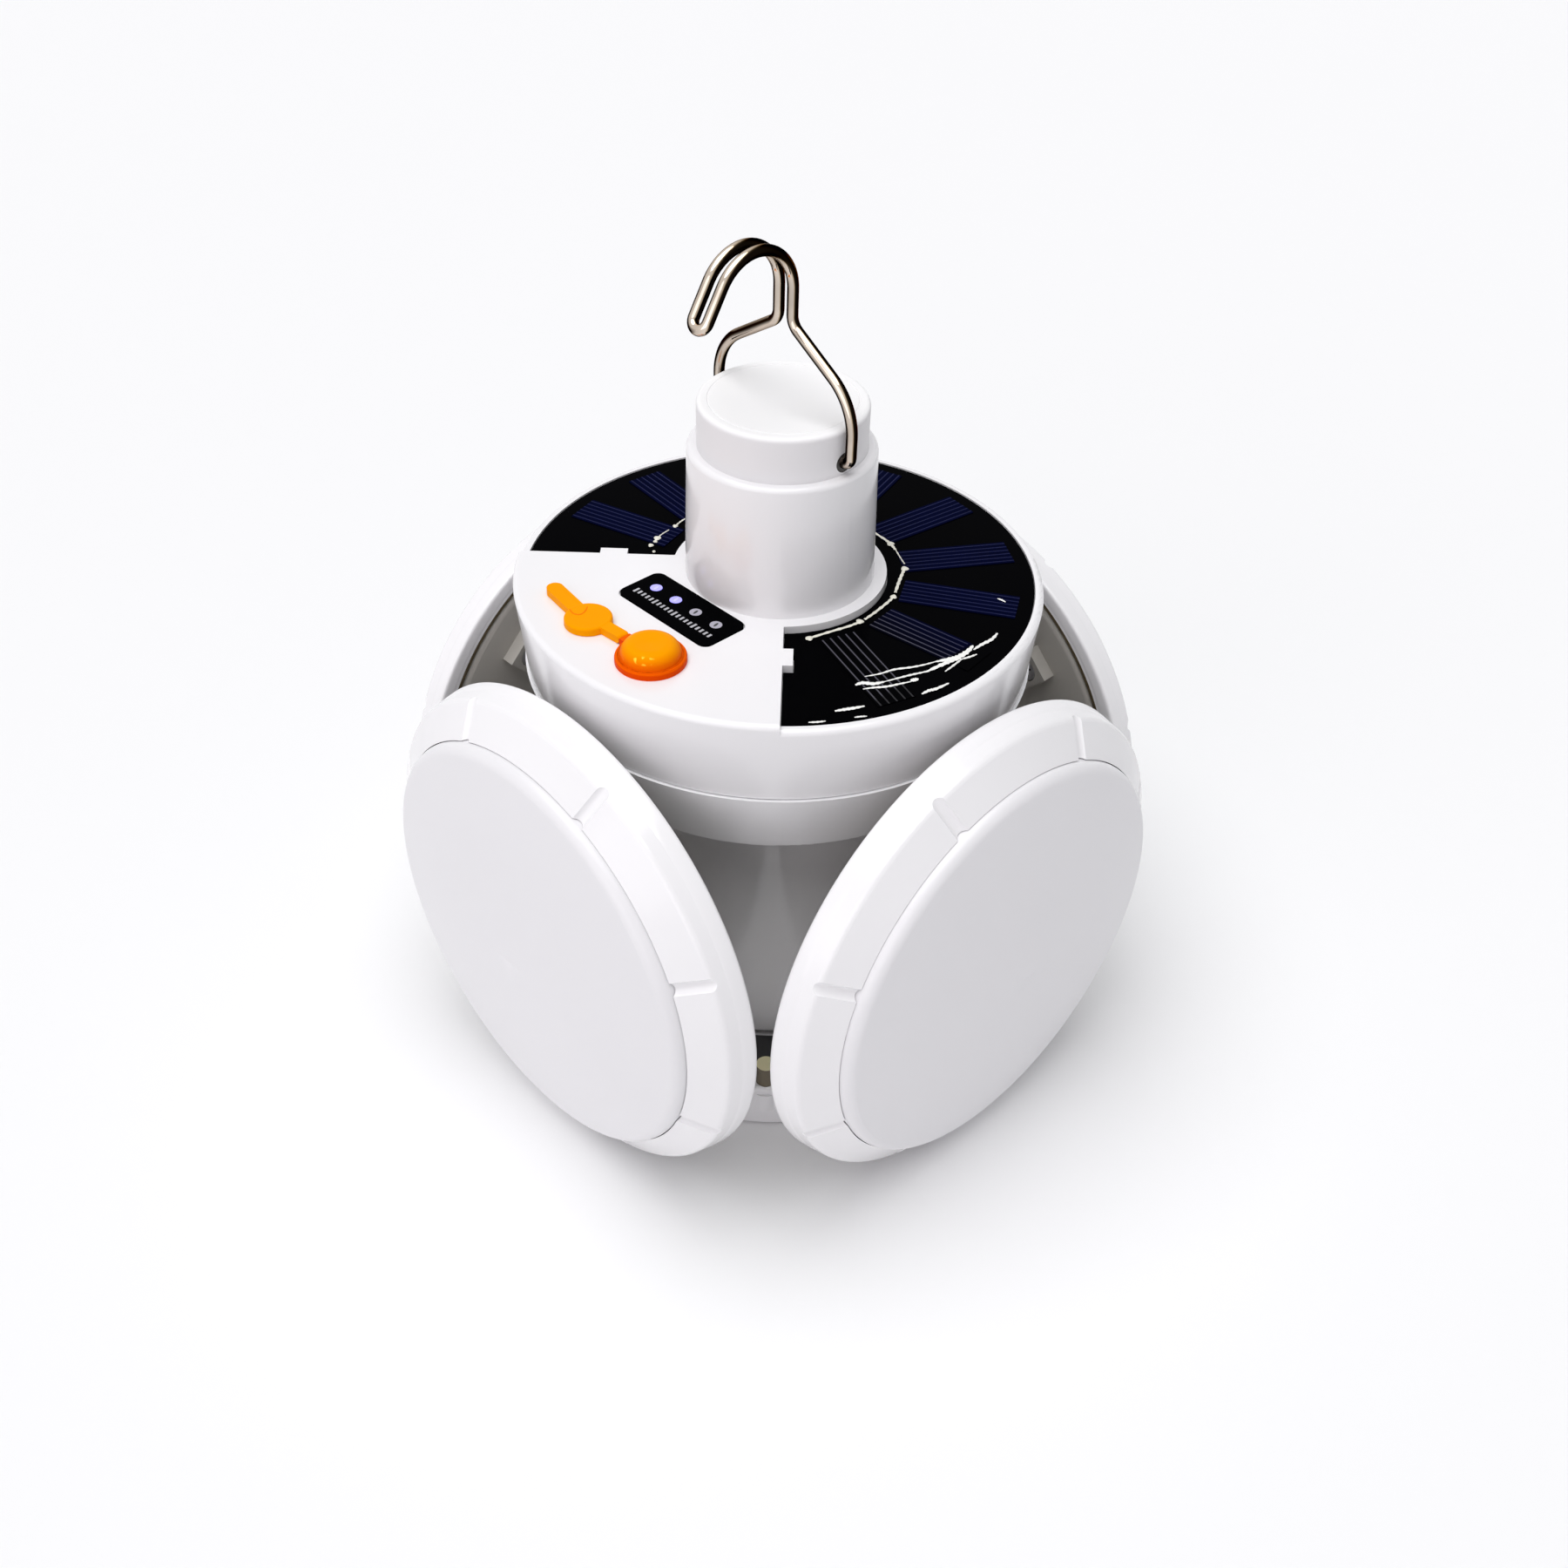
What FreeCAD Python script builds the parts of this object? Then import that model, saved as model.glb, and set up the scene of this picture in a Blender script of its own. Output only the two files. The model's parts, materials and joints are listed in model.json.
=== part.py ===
"""A folding solar lamp: round top casing, neck with a wire hook, central stem and base, and four
hinged light petals folded up round them. Millimetres, +Z up, the origin at the middle of the base's
standing ring, the control panel facing -Y. Every size below is held in the document's sheet."""

import FreeCAD, Part
import math
import os
import re
import Sketcher

Vector = FreeCAD.Vector
UP = Vector(0, 0, 1)

# Sizes: alias, number or formula of other sizes, meaning
SIZES = (
    ("casing_radius", 41.6, "rim of the top casing at the deck"),
    ("casing_top", 90.0, "height of the rim round the solar panel above the standing ring"),
    ("deck", 0.95, "control sector and neck ring above the rim"),
    ("casing_wall", 2.0, "thickness of the casing's walls"),
    ("plate_thickness", 3.2, "thickness of the casing's top plate"),
    ("upper_depth", 13.1, "parting line below the rim"),
    ("casing_draft", 1.45, "draft of the upper casing's wall"),
    ("parting_radius", "casing_radius - casing_draft", "casing radius at the parting line"),
    ("parting_gap", 0.25, "open line between upper and lower casing"),
    ("lower_depth", 25.9, "lower casing's underside below the rim"),
    ("lower_draft", 4.15, "draft of the lower casing's wall"),
    ("lower_ledge", 0.4, "lower casing's step outside the upper wall"),
    ("lower_radius", "parting_radius - lower_draft", "lower casing's radius at its underside"),
    ("spigot_height", 2.2, "lower casing's spigot inside the upper wall"),
    ("rim_round", 0.85, "rounding of the casing's rim"),
    ("fit_gap", 0.15, "clearance between pieces that seat in each other"),
    ("neck_foot_radius", 14.8, "neck tube at its foot"),
    ("neck_draft", 0.45, "draft of the neck tube"),
    ("neck_step_radius", "neck_foot_radius - neck_draft", "neck tube at the step"),
    ("neck_step", 22.6, "step above the rim"),
    ("neck_wall", 2.4, "wall of neck tube and cap"),
    ("neck_shoulder", 1.4, "neck tube's shoulder on the deck"),
    ("neck_spigot", "neck_foot_radius - neck_shoulder", "neck tube's spigot through the top plate"),
    ("cap_step", 1.5, "ledge between neck tube and cap"),
    ("cap_radius", "neck_step_radius - cap_step", "neck cap above the step"),
    ("cap_top", 29.8, "neck cap's top above the rim"),
    ("cap_spigot", 5.0, "neck cap's spigot inside the tube"),
    ("cap_border", 1.7, "border outside the cap's ring line"),
    ("cap_ring_radius", "cap_radius - cap_border", "fine ring line on the neck cap's top"),
    ("edge_round", 0.8, "rounding of small moulded edges"),
    ("wire_radius", 0.85, "hook wire"),
    ("wire_play", 0.05, "hook wire's clearance in its holes"),
    ("hole_play", 0.2, "wider mouth of the cap's holes"),
    ("hook_pivot", 24.5, "hook pivot above the rim"),
    ("leg_gap", 0.35, "hook legs beside the neck cap"),
    ("hook_leg", "cap_radius + wire_radius + leg_gap", "hook legs from the middle"),
    ("knee_radius", 9.0, "bend of the hook's legs"),
    ("hook_knee", 33.8, "bend of the legs above the rim"),
    ("hook_shoulder", 41.7, "shoulder bend above the rim"),
    ("hook_pair", 1.4, "half the distance between the paired wires"),
    ("crook_radius", 7.2, "radius of the crook over the top"),
    ("crook_centre", 46.9, "centre of the crook above the rim"),
    ("crook_sweep", 148.4, "turn of the crook in degrees"),
    ("crook_tip_run", 4.9, "straight run from crook to tip"),
    ("rim_width", 1.55, "rim outside the solar panel"),
    ("panel_outer", "casing_radius - rim_width", "solar panel recess, outer radius"),
    ("neck_ring", 2.0, "raised ring round the neck's foot"),
    ("panel_inner", "neck_foot_radius + neck_ring", "solar panel recess, inner radius"),
    ("panel_recess", 1.2, "depth of the solar panel recess"),
    ("panel_thickness", 1.0, "solar panel board"),
    ("sector_left", 2.5, "control sector's left edge past the diagonal"),
    ("sector_right", 1.0, "control sector's right edge past the diagonal"),
    ("tab_right", 24.6, "right holding tab from the middle, along the sector's edge"),
    ("tab_left", 26.3, "left holding tab from the middle, along the sector's edge"),
    ("tab_width", 4.3, "holding tabs along the edge"),
    ("tab_reach", 1.55, "holding tabs over the panel"),
    ("cell_margin", 2.45, "solar cells' ends inside the panel's edge"),
    ("cell_length", "panel_outer - cell_inner - cell_margin", "solar cell strip"),
    ("cell_width", 6.2, "solar cell strip"),
    ("cell_thickness", 0.15, "solar cell strip and bus ribbon"),
    ("cell_gap", 2.8, "solar cells' inner ends outside the neck ring"),
    ("cell_inner", "panel_inner + cell_gap", "inner ends of the cells from the middle"),
    ("first_cell", -17.2, "angle of the first cell in degrees"),
    ("cell_pitch", 24.9, "angle between the first cells"),
    ("closing_pitch", 22.3, "angle between the last cells"),
    ("ribbon_width", 0.9, "bus ribbon"),
    ("ribbon_length", 7.2, "bus ribbon, one chord"),
    ("plate_x", -1.2, "indicator plate's middle"),
    ("plate_inset", 4.6, "indicator plate's middle from the neck"),
    ("plate_y", "-neck_foot_radius - plate_inset", "indicator plate's middle"),
    ("plate_length", 20.3, "indicator plate"),
    ("plate_width", 8.6, "indicator plate"),
    ("plate_corner", 1.5, "indicator plate's corner radius"),
    ("plate_depth", 0.6, "indicator plate's thickness"),
    ("plate_proud", 0.2, "indicator plate above the deck"),
    ("lens_radius", 0.95, "indicator windows"),
    ("lens_pitch", 4.55, "between indicator windows"),
    ("lens_rise", 0.9, "indicator windows above the plate's middle"),
    ("lens_y", "plate_y + lens_rise", "row of indicator windows"),
    ("button_x", 5.9, "push button's middle"),
    ("button_inset", 10.2, "push button's middle inside the rim"),
    ("button_y", "button_inset - casing_radius", "push button's middle"),
    ("button_round", 2.0, "rounding of the push button's dome"),
    ("button_radius", 4.5, "push button's dome"),
    ("button_top", 3.2, "push button's top above the deck"),
    ("button_stem", 2.0, "push button's stem radius"),
    ("button_travel", 0.8, "push button's travel"),
    ("flange_radius", 5.3, "rubber flange round the button"),
    ("flange_height", 1.1, "rubber flange"),
    ("strap_width", 2.0, "rubber strap"),
    ("strap_thickness", 1.2, "rubber strap"),
    ("strap_hinge", -0.8, "bend of the strap, along X"),
    ("plug_x", -7.6, "port plug's middle"),
    ("plug_inset", 9.5, "port plug's middle inside the rim"),
    ("plug_y", "plug_inset - casing_radius", "port plug's middle"),
    ("plug_radius", 3.65, "port plug's disc"),
    ("plug_height", 1.3, "port plug's disc"),
    ("plug_stub", 2.4, "port plug's stub radius"),
    ("plug_depth", 1.6, "port plug's stub depth"),
    ("port_radius", 3.0, "port hole in the top plate"),
    ("tab_end_x", -17.1, "pull tab's end circle"),
    ("tab_rise", 1.2, "pull tab's end above the plug's middle"),
    ("tab_end_y", "plug_y + tab_rise", "pull tab's end circle"),
    ("tab_end_radius", 1.3, "pull tab's half width"),
    ("board_thickness", 1.6, "main board"),
    ("board_play", 0.75, "main board inside the casing"),
    ("board_radius", "parting_radius - casing_wall - board_play", "main board"),
    ("boss_radius", 3.2, "casing screw bosses"),
    ("boss_inset", 11.6, "casing screw bosses inside the rim"),
    ("boss_place", "casing_radius - boss_inset", "casing screw bosses from the middle, on the diagonals"),
    ("switch_side", 6.0, "push switch"),
    ("switch_height", 3.5, "push switch's case"),
    ("jack_radius", 3.6, "charging jack"),
    ("jack_bore", 1.8, "charging jack's bore"),
    ("jack_height", 6.0, "charging jack"),
    ("stem_inset", 12.0, "stem column inside the casing's underside"),
    ("stem_radius", "lower_radius - stem_inset", "stem column"),
    ("stem_foot", 10.2, "stem column's foot above the standing ring"),
    ("flange_width", 2.3, "stem column's flange"),
    ("stem_flange", "stem_radius + flange_width", "stem column's flange inside the casing"),
    ("cell_radius", 9.2, "battery cell"),
    ("cell_height", 65.2, "battery cell"),
    ("contact_thickness", 1.2, "battery contact plates"),
    ("holder_wall", 1.5, "battery holder"),
    ("holder_height", 58.0, "battery holder"),
    ("hinge_reach", 4.6, "hinge outside the base housing"),
    ("base_radius", "hinge_x - hinge_reach", "base housing and base bezel"),
    ("base_top", 9.1, "base housing's top above the standing ring"),
    ("base_plate", 2.0, "base housing's top plate"),
    ("base_wall", 2.4, "base housing's side wall"),
    ("base_split", 2.5, "height of the base bezel"),
    ("hub_inset", 4.0, "hub inside the stem column"),
    ("hub_radius", "stem_radius - hub_inset", "hub between base and stem foot"),
    ("stand_bevel", 1.1, "slope inside the standing ring"),
    ("base_window", "stand_inner - stand_bevel", "opening of the base bezel"),
    ("stand_width", 4.9, "standing ring"),
    ("stand_inner", "stand_outer - stand_width", "standing ring's inner radius"),
    ("stand_chamfer", 0.5, "slope outside the standing ring"),
    ("stand_outer", "base_radius - stand_chamfer", "standing ring's outer radius"),
    ("base_dome", 1.1, "rise of the base diffuser"),
    ("base_lift", 0.5, "base diffuser above the standing plane"),
    ("stud_radius", 1.65, "brass studs"),
    ("stud_edge", 2.2, "brass studs inside the base's side"),
    ("stud_place", "base_radius - stud_edge", "brass studs from the middle, on the diagonals"),
    ("stud_height", 4.0, "brass studs above the base's top"),
    ("stem_screw_place", 14.0, "screws from base to stem"),
    ("screw_radius", 1.25, "screw shanks"),
    ("head_radius", 2.5, "screw heads"),
    ("cover_head", 1.9, "heads of the petals' screws"),
    ("head_height", 1.5, "screw heads"),
    ("hinge_offset", 10.8, "hinge behind the petal's seam plane"),
    ("hinge_x", "petal_plane - hinge_offset", "petal hinge from the middle"),
    ("hinge_z", 4.0, "petal hinge above the standing plane"),
    ("pin_radius", 1.0, "hinge pin"),
    ("pin_play", 0.05, "hinge pin's running clearance"),
    ("pin_grip", 0.02, "hinge pin's clearance in the ears"),
    ("knuckle_radius", 1.9, "hinge knuckles and ears"),
    ("knuckle_length", 13.4, "petal knuckle"),
    ("ear_inner", 7.0, "base ears, inner faces from the middle"),
    ("ear_outer", 11.0, "base ears, outer faces from the middle"),
    ("casing_clear", 1.2, "petal's rear outside the casing"),
    ("corner_clear", 1.0, "petal's rear outside its neighbour's rim"),
    ("petal_plane", "max(casing_radius + casing_clear; petal_radius + corner_clear) + petal_depth", "petal's seam plane from the middle"),
    ("petal_lift", 0.4, "petal's rim above the standing plane"),
    ("petal_height", "petal_radius + petal_lift", "petal's middle above the standing plane"),
    ("petal_radius", 41.8, "petal's rim"),
    ("petal_depth", 8.6, "seam plane to the bezel's rear edge"),
    ("bezel_width", 6.2, "bezel from the rim to the diffuser's edge"),
    ("seam_radius", "petal_radius - bezel_width", "diffuser's edge"),
    ("rim_taper", 0.9, "taper of the bezel's side"),
    ("front_drop", 3.5, "bezel's front face from seam to rim"),
    ("front_radius", "petal_radius - rim_taper", "bezel's front edge"),
    ("front_round", 1.3, "rounding of the bezel's front edge"),
    ("rear_round", 2.0, "rounding of the bezel's rear edge"),
    ("groove_width", 2.2, "bezel grooves"),
    ("groove_depth", 0.6, "bezel grooves"),
    ("groove_turn", 1.7, "bezel grooves turned towards the neighbour, in degrees"),
    ("lip_depth", 4.0, "bezel lip over the diffuser's flange"),
    ("rear_lip", 2.85, "bezel's rear lip"),
    ("cover_bore", "petal_radius - rear_lip", "bezel's bore for the back cover"),
    ("cover_inset", 0.2, "back cover inside the bezel's rear edge"),
    ("cover_round", 1.2, "rounding of the back cover's edge"),
    ("cover_gap", 1.2, "open groove round the back cover"),
    ("cover_floor", 1.6, "back cover's floor"),
    ("cover_rim", 1.5, "back cover's rim wall"),
    ("dome_edge", 2.0, "rounding of the diffuser's edge"),
    ("dome_height", 5.7, "diffuser's dome above the seam plane"),
    ("diffuser_wall", 1.5, "diffuser"),
    ("diffuser_flange", 1.2, "diffuser's flange"),
    ("led_board", 1.2, "LED boards"),
    ("led_board_lift", 1.0, "LED board above the back cover's floor"),
    ("led_length", 3.5, "LED package"),
    ("led_width", 2.8, "LED package"),
    ("led_height", 0.7, "LED package"),
    ("led_ring", 24.0, "outer ring of LEDs"),
    ("led_inner_ring", 11.0, "inner ring of LEDs"),
    ("post_inset", 13.23, "back cover pads inside the rim"),
    ("post_place", "(petal_radius - post_inset) * sqrt(0.5)", "back cover pads, across and up from the petal's middle"),
    ("post_side", 6.0, "back cover pads"),
    ("post_height", 2.5, "back cover pads"),
)
GROOVES = 8
OUTER_LEDS = 8
INNER_LEDS = 4
FIRST_CELLS = 6
LAST_CELLS = 4
PETALS = (("right", 0), ("back", 90), ("left", 180), ("front", 270))
DIAGONALS = (45, 135, 225, 315)

doc = FreeCAD.newDocument("FoldingLamp")
sheet = doc.addObject("Spreadsheet::Sheet", "Sizes")
for row, (alias, number, meaning) in enumerate(SIZES, 1):
    sheet.set(f"A{row}", meaning)
    sheet.set(f"B{row}", f"={number}")
    sheet.setAlias(f"B{row}", alias)
doc.recompute()

ALIAS = re.compile(r"\b(" + "|".join(alias for alias, number, meaning in SIZES) + r")\b")
pieces = []


def size(formula):
    """The number that a formula in the sheet's sizes comes to."""
    return float(sheet.evalExpression(formula))


def bound(formula):
    """A formula as the document's expressions write it, with each size read from the sheet."""
    return ALIAS.sub(lambda found: "Sizes." + found.group(0), formula)


def tie(thing, **formulas):
    """Binds properties of a document object to formulas; a double underscore stands for a dot."""
    for name, formula in formulas.items():
        thing.setExpression(name.replace("__", "."), bound(formula))
    return thing


def put(thing, x="0", y="0", z="0"):
    """Binds the place of an object's own origin."""
    return tie(thing, Placement__Base__x=x, Placement__Base__y=y, Placement__Base__z=z)


def keep(thing, label):
    """Takes an object as a finished piece of the lamp, under the name of its file."""
    thing.Label = label
    pieces.append(thing)
    return thing


# Sketches and the features that use them


def new_body(label):
    return keep(doc.addObject("PartDesign::Body", label), label)


def own_plane(body, role):
    return next(f for f in body.Origin.OriginFeatures if f.Role == role)


def new_sketch(body, role, lift):
    sketch = body.newObject("Sketcher::SketchObject", "Sketch")
    sketch.AttachmentSupport = [(own_plane(body, role), "")]
    sketch.MapMode = "FlatFace"
    return tie(sketch, AttachmentOffset__Base__z=lift)


def hold(sketch, edge, end, across, up):
    """Fixes one point of a sketch by two formulas."""
    for kind, axis, formula in (("DistanceX", -2, across), ("DistanceY", -1, up)):
        value = size(formula)
        if abs(value) < 1e-9:
            sketch.addConstraint(Sketcher.Constraint("PointOnObject", edge, end, axis))
        else:
            row = sketch.addConstraint(Sketcher.Constraint(kind, -1, 1, edge, end, value))
            sketch.setExpression(f"Constraints[{row}]", bound(formula))


def arc_between(start, finish, radius, turn):
    """The shorter arc from start to finish; turn is 1 for anticlockwise and -1 for clockwise."""
    chord = finish - start
    half = chord.Length / 2
    left = Vector(-chord.y, chord.x, 0).normalize()
    middle = start + chord * 0.5 + left * (turn * math.sqrt(max(radius ** 2 - half ** 2, 0)))
    first, last = (start, finish) if turn > 0 else (finish, start)
    begin = math.atan2(first.y - middle.y, first.x - middle.x)
    end = math.atan2(last.y - middle.y, last.x - middle.x)
    if end <= begin:
        end += 2 * math.pi
    return Part.ArcOfCircle(Part.Circle(middle, UP, radius), begin, end)


def outline(body, role, corners, lift="0"):
    """A closed sketch. A corner is (across, up), or (across, up, radius, turn) where an arc follows it."""
    sketch = new_sketch(body, role, lift)
    points = [Vector(size(corner[0]), size(corner[1]), 0) for corner in corners]
    ends = []
    for place, corner in enumerate(corners):
        start = points[place]
        finish = points[(place + 1) % len(points)]
        if len(corner) == 2:
            edge = sketch.addGeometry(Part.LineSegment(start, finish))
            ends.append((edge, 1, 2))
            continue
        radius, turn = corner[2:]
        edge = sketch.addGeometry(arc_between(start, finish, size(radius), turn))
        ends.append((edge, 1, 2) if turn > 0 else (edge, 2, 1))
        row = sketch.addConstraint(Sketcher.Constraint("Radius", edge, size(radius)))
        sketch.setExpression(f"Constraints[{row}]", bound(radius))
    for place, (edge, first, last) in enumerate(ends):
        following = ends[(place + 1) % len(ends)]
        sketch.addConstraint(Sketcher.Constraint("Coincident", edge, last, following[0], following[1]))
    for (edge, first, last), corner in zip(ends, corners):
        hold(sketch, edge, first, corner[0], corner[1])
    return sketch


def circles(body, role, middles, radius, lift="0"):
    """A sketch of equal circles, each middle given by two formulas."""
    sketch = new_sketch(body, role, lift)
    for across, up in middles:
        middle = Vector(size(across), size(up), 0)
        edge = sketch.addGeometry(Part.Circle(middle, UP, size(radius)))
        row = sketch.addConstraint(Sketcher.Constraint("Radius", edge, size(radius)))
        sketch.setExpression(f"Constraints[{row}]", bound(radius))
        hold(sketch, edge, 3, across, up)
    return sketch


def revolve(body, corners):
    """Turns an outline of radius and height round the body's own Z axis."""
    sketch = outline(body, "XZ_Plane", corners)
    turned = body.newObject("PartDesign::Revolution", "Turned")
    turned.Profile = sketch
    turned.ReferenceAxis = (sketch, ["V_Axis"])
    turned.Angle = 360
    return turned


def pad(body, sketch, length, middle=False, down=False):
    raised = body.newObject("PartDesign::Pad", "Raised")
    raised.Profile = sketch
    raised.Midplane = middle
    raised.Reversed = down
    return tie(raised, Length=length)


def pocket(body, sketch, length, middle=False, up=False):
    """Cuts an outline away, downwards from its plane, or upwards, or both ways from the middle."""
    doc.recompute()
    before = body.Shape.Volume
    cut = body.newObject("PartDesign::Pocket", "Cut")
    cut.Profile = sketch
    cut.Midplane = middle
    cut.Reversed = up
    tie(cut, Length=length)
    doc.recompute()
    if not body.Shape.Volume < before - 1e-6:
        raise RuntimeError(f"a cut in {body.Label} takes nothing away")
    return cut


def polar(body, features, count):
    """Repeats features evenly round the body's own Z axis."""
    pattern = body.newObject("PartDesign::PolarPattern", "Round")
    pattern.Originals = features
    pattern.Axis = (own_plane(body, "Z_Axis"), [""])
    pattern.Angle = 360
    pattern.Occurrences = count
    body.Tip = pattern
    doc.recompute()
    return pattern


def round_rims(body, rims, radius):
    """Rounds circular edges about the Z axis, each given by its radius and height."""
    doc.recompute()
    base = body.Tip
    names = []
    for place, edge in enumerate(base.Shape.Edges, 1):
        curve = edge.Curve
        if not isinstance(curve, Part.Circle) or math.hypot(curve.Center.x, curve.Center.y) > 1e-6:
            continue
        for rim_radius, height in rims:
            if abs(curve.Radius - size(rim_radius)) < 1e-6 and abs(curve.Center.z - size(height)) < 1e-6:
                names.append(f"Edge{place}")
    if len(names) < len(rims):
        raise RuntimeError(f"an edge to round on {body.Label} was not found")
    rounded = body.newObject("PartDesign::Fillet", "Rounded")
    rounded.Base = (base, names)
    return tie(rounded, Radius=radius)


# Plain solids and groups of them


def cylinder(radius, height, x="0", y="0", z="0", along=UP):
    """A cylinder from its foot at x, y, z."""
    solid = tie(doc.addObject("Part::Cylinder", "Rod"), Radius=radius, Height=height)
    solid.Placement.Rotation = FreeCAD.Rotation(UP, along)
    return put(solid, x, y, z)


def block(length, width, height, angle=0.0, radius="0", x="0", y="0", z="0"):
    """A box turned by angle about +Z, its middle at x, y plus radius out along that angle, its foot at z."""
    solid = tie(doc.addObject("Part::Box", "Block"), Length=length, Width=width, Height=height)
    solid.Placement.Rotation = FreeCAD.Rotation(UP, angle)
    ahead = f"({radius} - ({length}) / 2)"
    side = f"(-({width}) / 2)"
    return put(
        solid,
        f"{x} + {ahead} * cos({angle}) - {side} * sin({angle})",
        f"{y} + {ahead} * sin({angle}) + {side} * cos({angle})",
        z,
    )


def group(label, solids):
    """Separate solids under one name."""
    thing = doc.addObject("Part::Compound", label)
    thing.Links = solids
    return keep(thing, label)


def fused(label, solids):
    thing = doc.addObject("Part::MultiFuse", label)
    thing.Shapes = solids
    return keep(thing, label)


def polar_place(radius, angle):
    """Formulas of a point at a radius and an angle in degrees."""
    return f"({radius}) * cos({angle})", f"({radius}) * sin({angle})"


def diagonal_places(radius):
    return [polar_place(radius, angle) for angle in DIAGONALS]


def screw(x, y, seat, shank, head_down=True, head_size="head_radius"):
    """A pan-head screw: its seat's height, its shank's length, the head below or above the seat."""
    head_foot = f"{seat} - head_height" if head_down else seat
    shank_foot = seat if head_down else f"{seat} - ({shank})"
    head = cylinder(head_size, "head_height", x, y, head_foot)
    body = cylinder("screw_radius", shank, x, y, shank_foot)
    joined = doc.addObject("Part::MultiFuse", "Screw")
    joined.Shapes = [head, body]
    return joined


# The casing


def panel_outline(gap, reach="panel_outer"):
    """Corners of the solar panel's field out to a radius, or of the board inside it at that gap."""
    outer = f"({reach} - {gap})"
    inner = f"(panel_inner + {gap})"
    half_tab = f"(tab_width / 2 + {gap})"

    def on_right(along, past):
        return f"({along} + {past}) * sqrt(0.5)", f"({past} - {along}) * sqrt(0.5)"

    def on_left(along, past):
        return f"-({along} + {past}) * sqrt(0.5)", f"({past} - {along}) * sqrt(0.5)"

    def edge(place, past, tab):
        past = f"({past} + {gap})"
        return [
            place(f"sqrt({inner}^2 - {past}^2)", past),
            place(f"({tab} - {half_tab})", past),
            place(f"({tab} - {half_tab})", f"({past} + tab_reach)"),
            place(f"({tab} + {half_tab})", f"({past} + tab_reach)"),
            place(f"({tab} + {half_tab})", past),
            place(f"sqrt({outer}^2 - {past}^2)", past),
        ]

    right = edge(on_right, "sector_right", "tab_right")
    left = edge(on_left, "sector_left", "tab_left")[::-1]
    turns = (40, 140)
    outside = [right[-1]] + [polar_place(outer, angle) for angle in turns]
    inside = [left[-1]] + [polar_place(inner, angle) for angle in reversed(turns)]
    corners = right[:-1] + [corner + (outer, 1) for corner in outside]
    return corners + left[:-1] + [corner + (inner, -1) for corner in inside]


def rounded_plate(gap):
    """Corners of the indicator plate, or of its recess at that gap around it."""
    left, right = (f"plate_x {sign} (plate_length / 2 + {gap})" for sign in "-+")
    low, high = (f"plate_y {sign} (plate_width / 2 + {gap})" for sign in "-+")
    bend = ("plate_corner", 1)
    return [
        (f"{left} + plate_corner", low),
        (f"{right} - plate_corner", low) + bend,
        (right, f"{low} + plate_corner"),
        (right, f"{high} - plate_corner") + bend,
        (f"{right} - plate_corner", high),
        (f"{left} + plate_corner", high) + bend,
        (left, f"{high} - plate_corner"),
        (left, f"{low} + plate_corner") + bend,
    ]


LENS_PLACES = [(f"plate_x + lens_pitch * {step}", "lens_y") for step in (-1.5, -0.5, 0.5, 1.5)]
BOARD_FOOT = "(casing_top - upper_depth - parting_gap + spigot_height)"
BOARD_TOP = f"({BOARD_FOOT} + board_thickness)"
CASING_FLOOR = "(casing_top - lower_depth + casing_wall)"
PLATE_UNDER = "(casing_top - plate_thickness)"
DECK = "(casing_top + deck)"


def make_top_cover():
    body = new_body("top_cover")
    revolve(body, [
        ("neck_spigot + fit_gap", PLATE_UNDER),
        ("casing_radius - casing_wall", PLATE_UNDER),
        ("parting_radius - casing_wall", "casing_top - upper_depth"),
        ("parting_radius", "casing_top - upper_depth"),
        ("casing_radius", DECK),
        ("neck_spigot + fit_gap", DECK),
    ])
    rounding = "min(rim_round; deck * 0.9)"
    round_rims(body, [("casing_radius", DECK)], rounding)
    pocket(body, outline(body, "XY_Plane", panel_outline("0", "casing_radius + deck"), DECK), "deck")
    rim = "parting_radius + (casing_radius - parting_radius) * upper_depth / (upper_depth + deck)"
    round_rims(body, [(rim, "casing_top")], rounding)
    pocket(body, outline(body, "XY_Plane", panel_outline("0"), "casing_top"), "panel_recess")
    pad(body, circles(body, "XY_Plane", diagonal_places("boss_place"), "boss_radius", CASING_FLOOR),
        f"{PLATE_UNDER} - {CASING_FLOOR}")
    pocket(body, circles(body, "XY_Plane", diagonal_places("boss_place"), "screw_radius + wire_play",
                         CASING_FLOOR), "head_height * 6", up=True)
    pocket(body, outline(body, "XY_Plane", rounded_plate("fit_gap"), DECK), "plate_depth - plate_proud")
    through = "plate_thickness + deck"
    pocket(body, circles(body, "XY_Plane", LENS_PLACES, "lens_radius + wire_play", DECK), through)
    pocket(body, circles(body, "XY_Plane", [("button_x", "button_y")], "button_stem + fit_gap * 2", DECK),
           through)
    pocket(body, circles(body, "XY_Plane", [("plug_x", "plug_y")], "port_radius", DECK), through)


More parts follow.
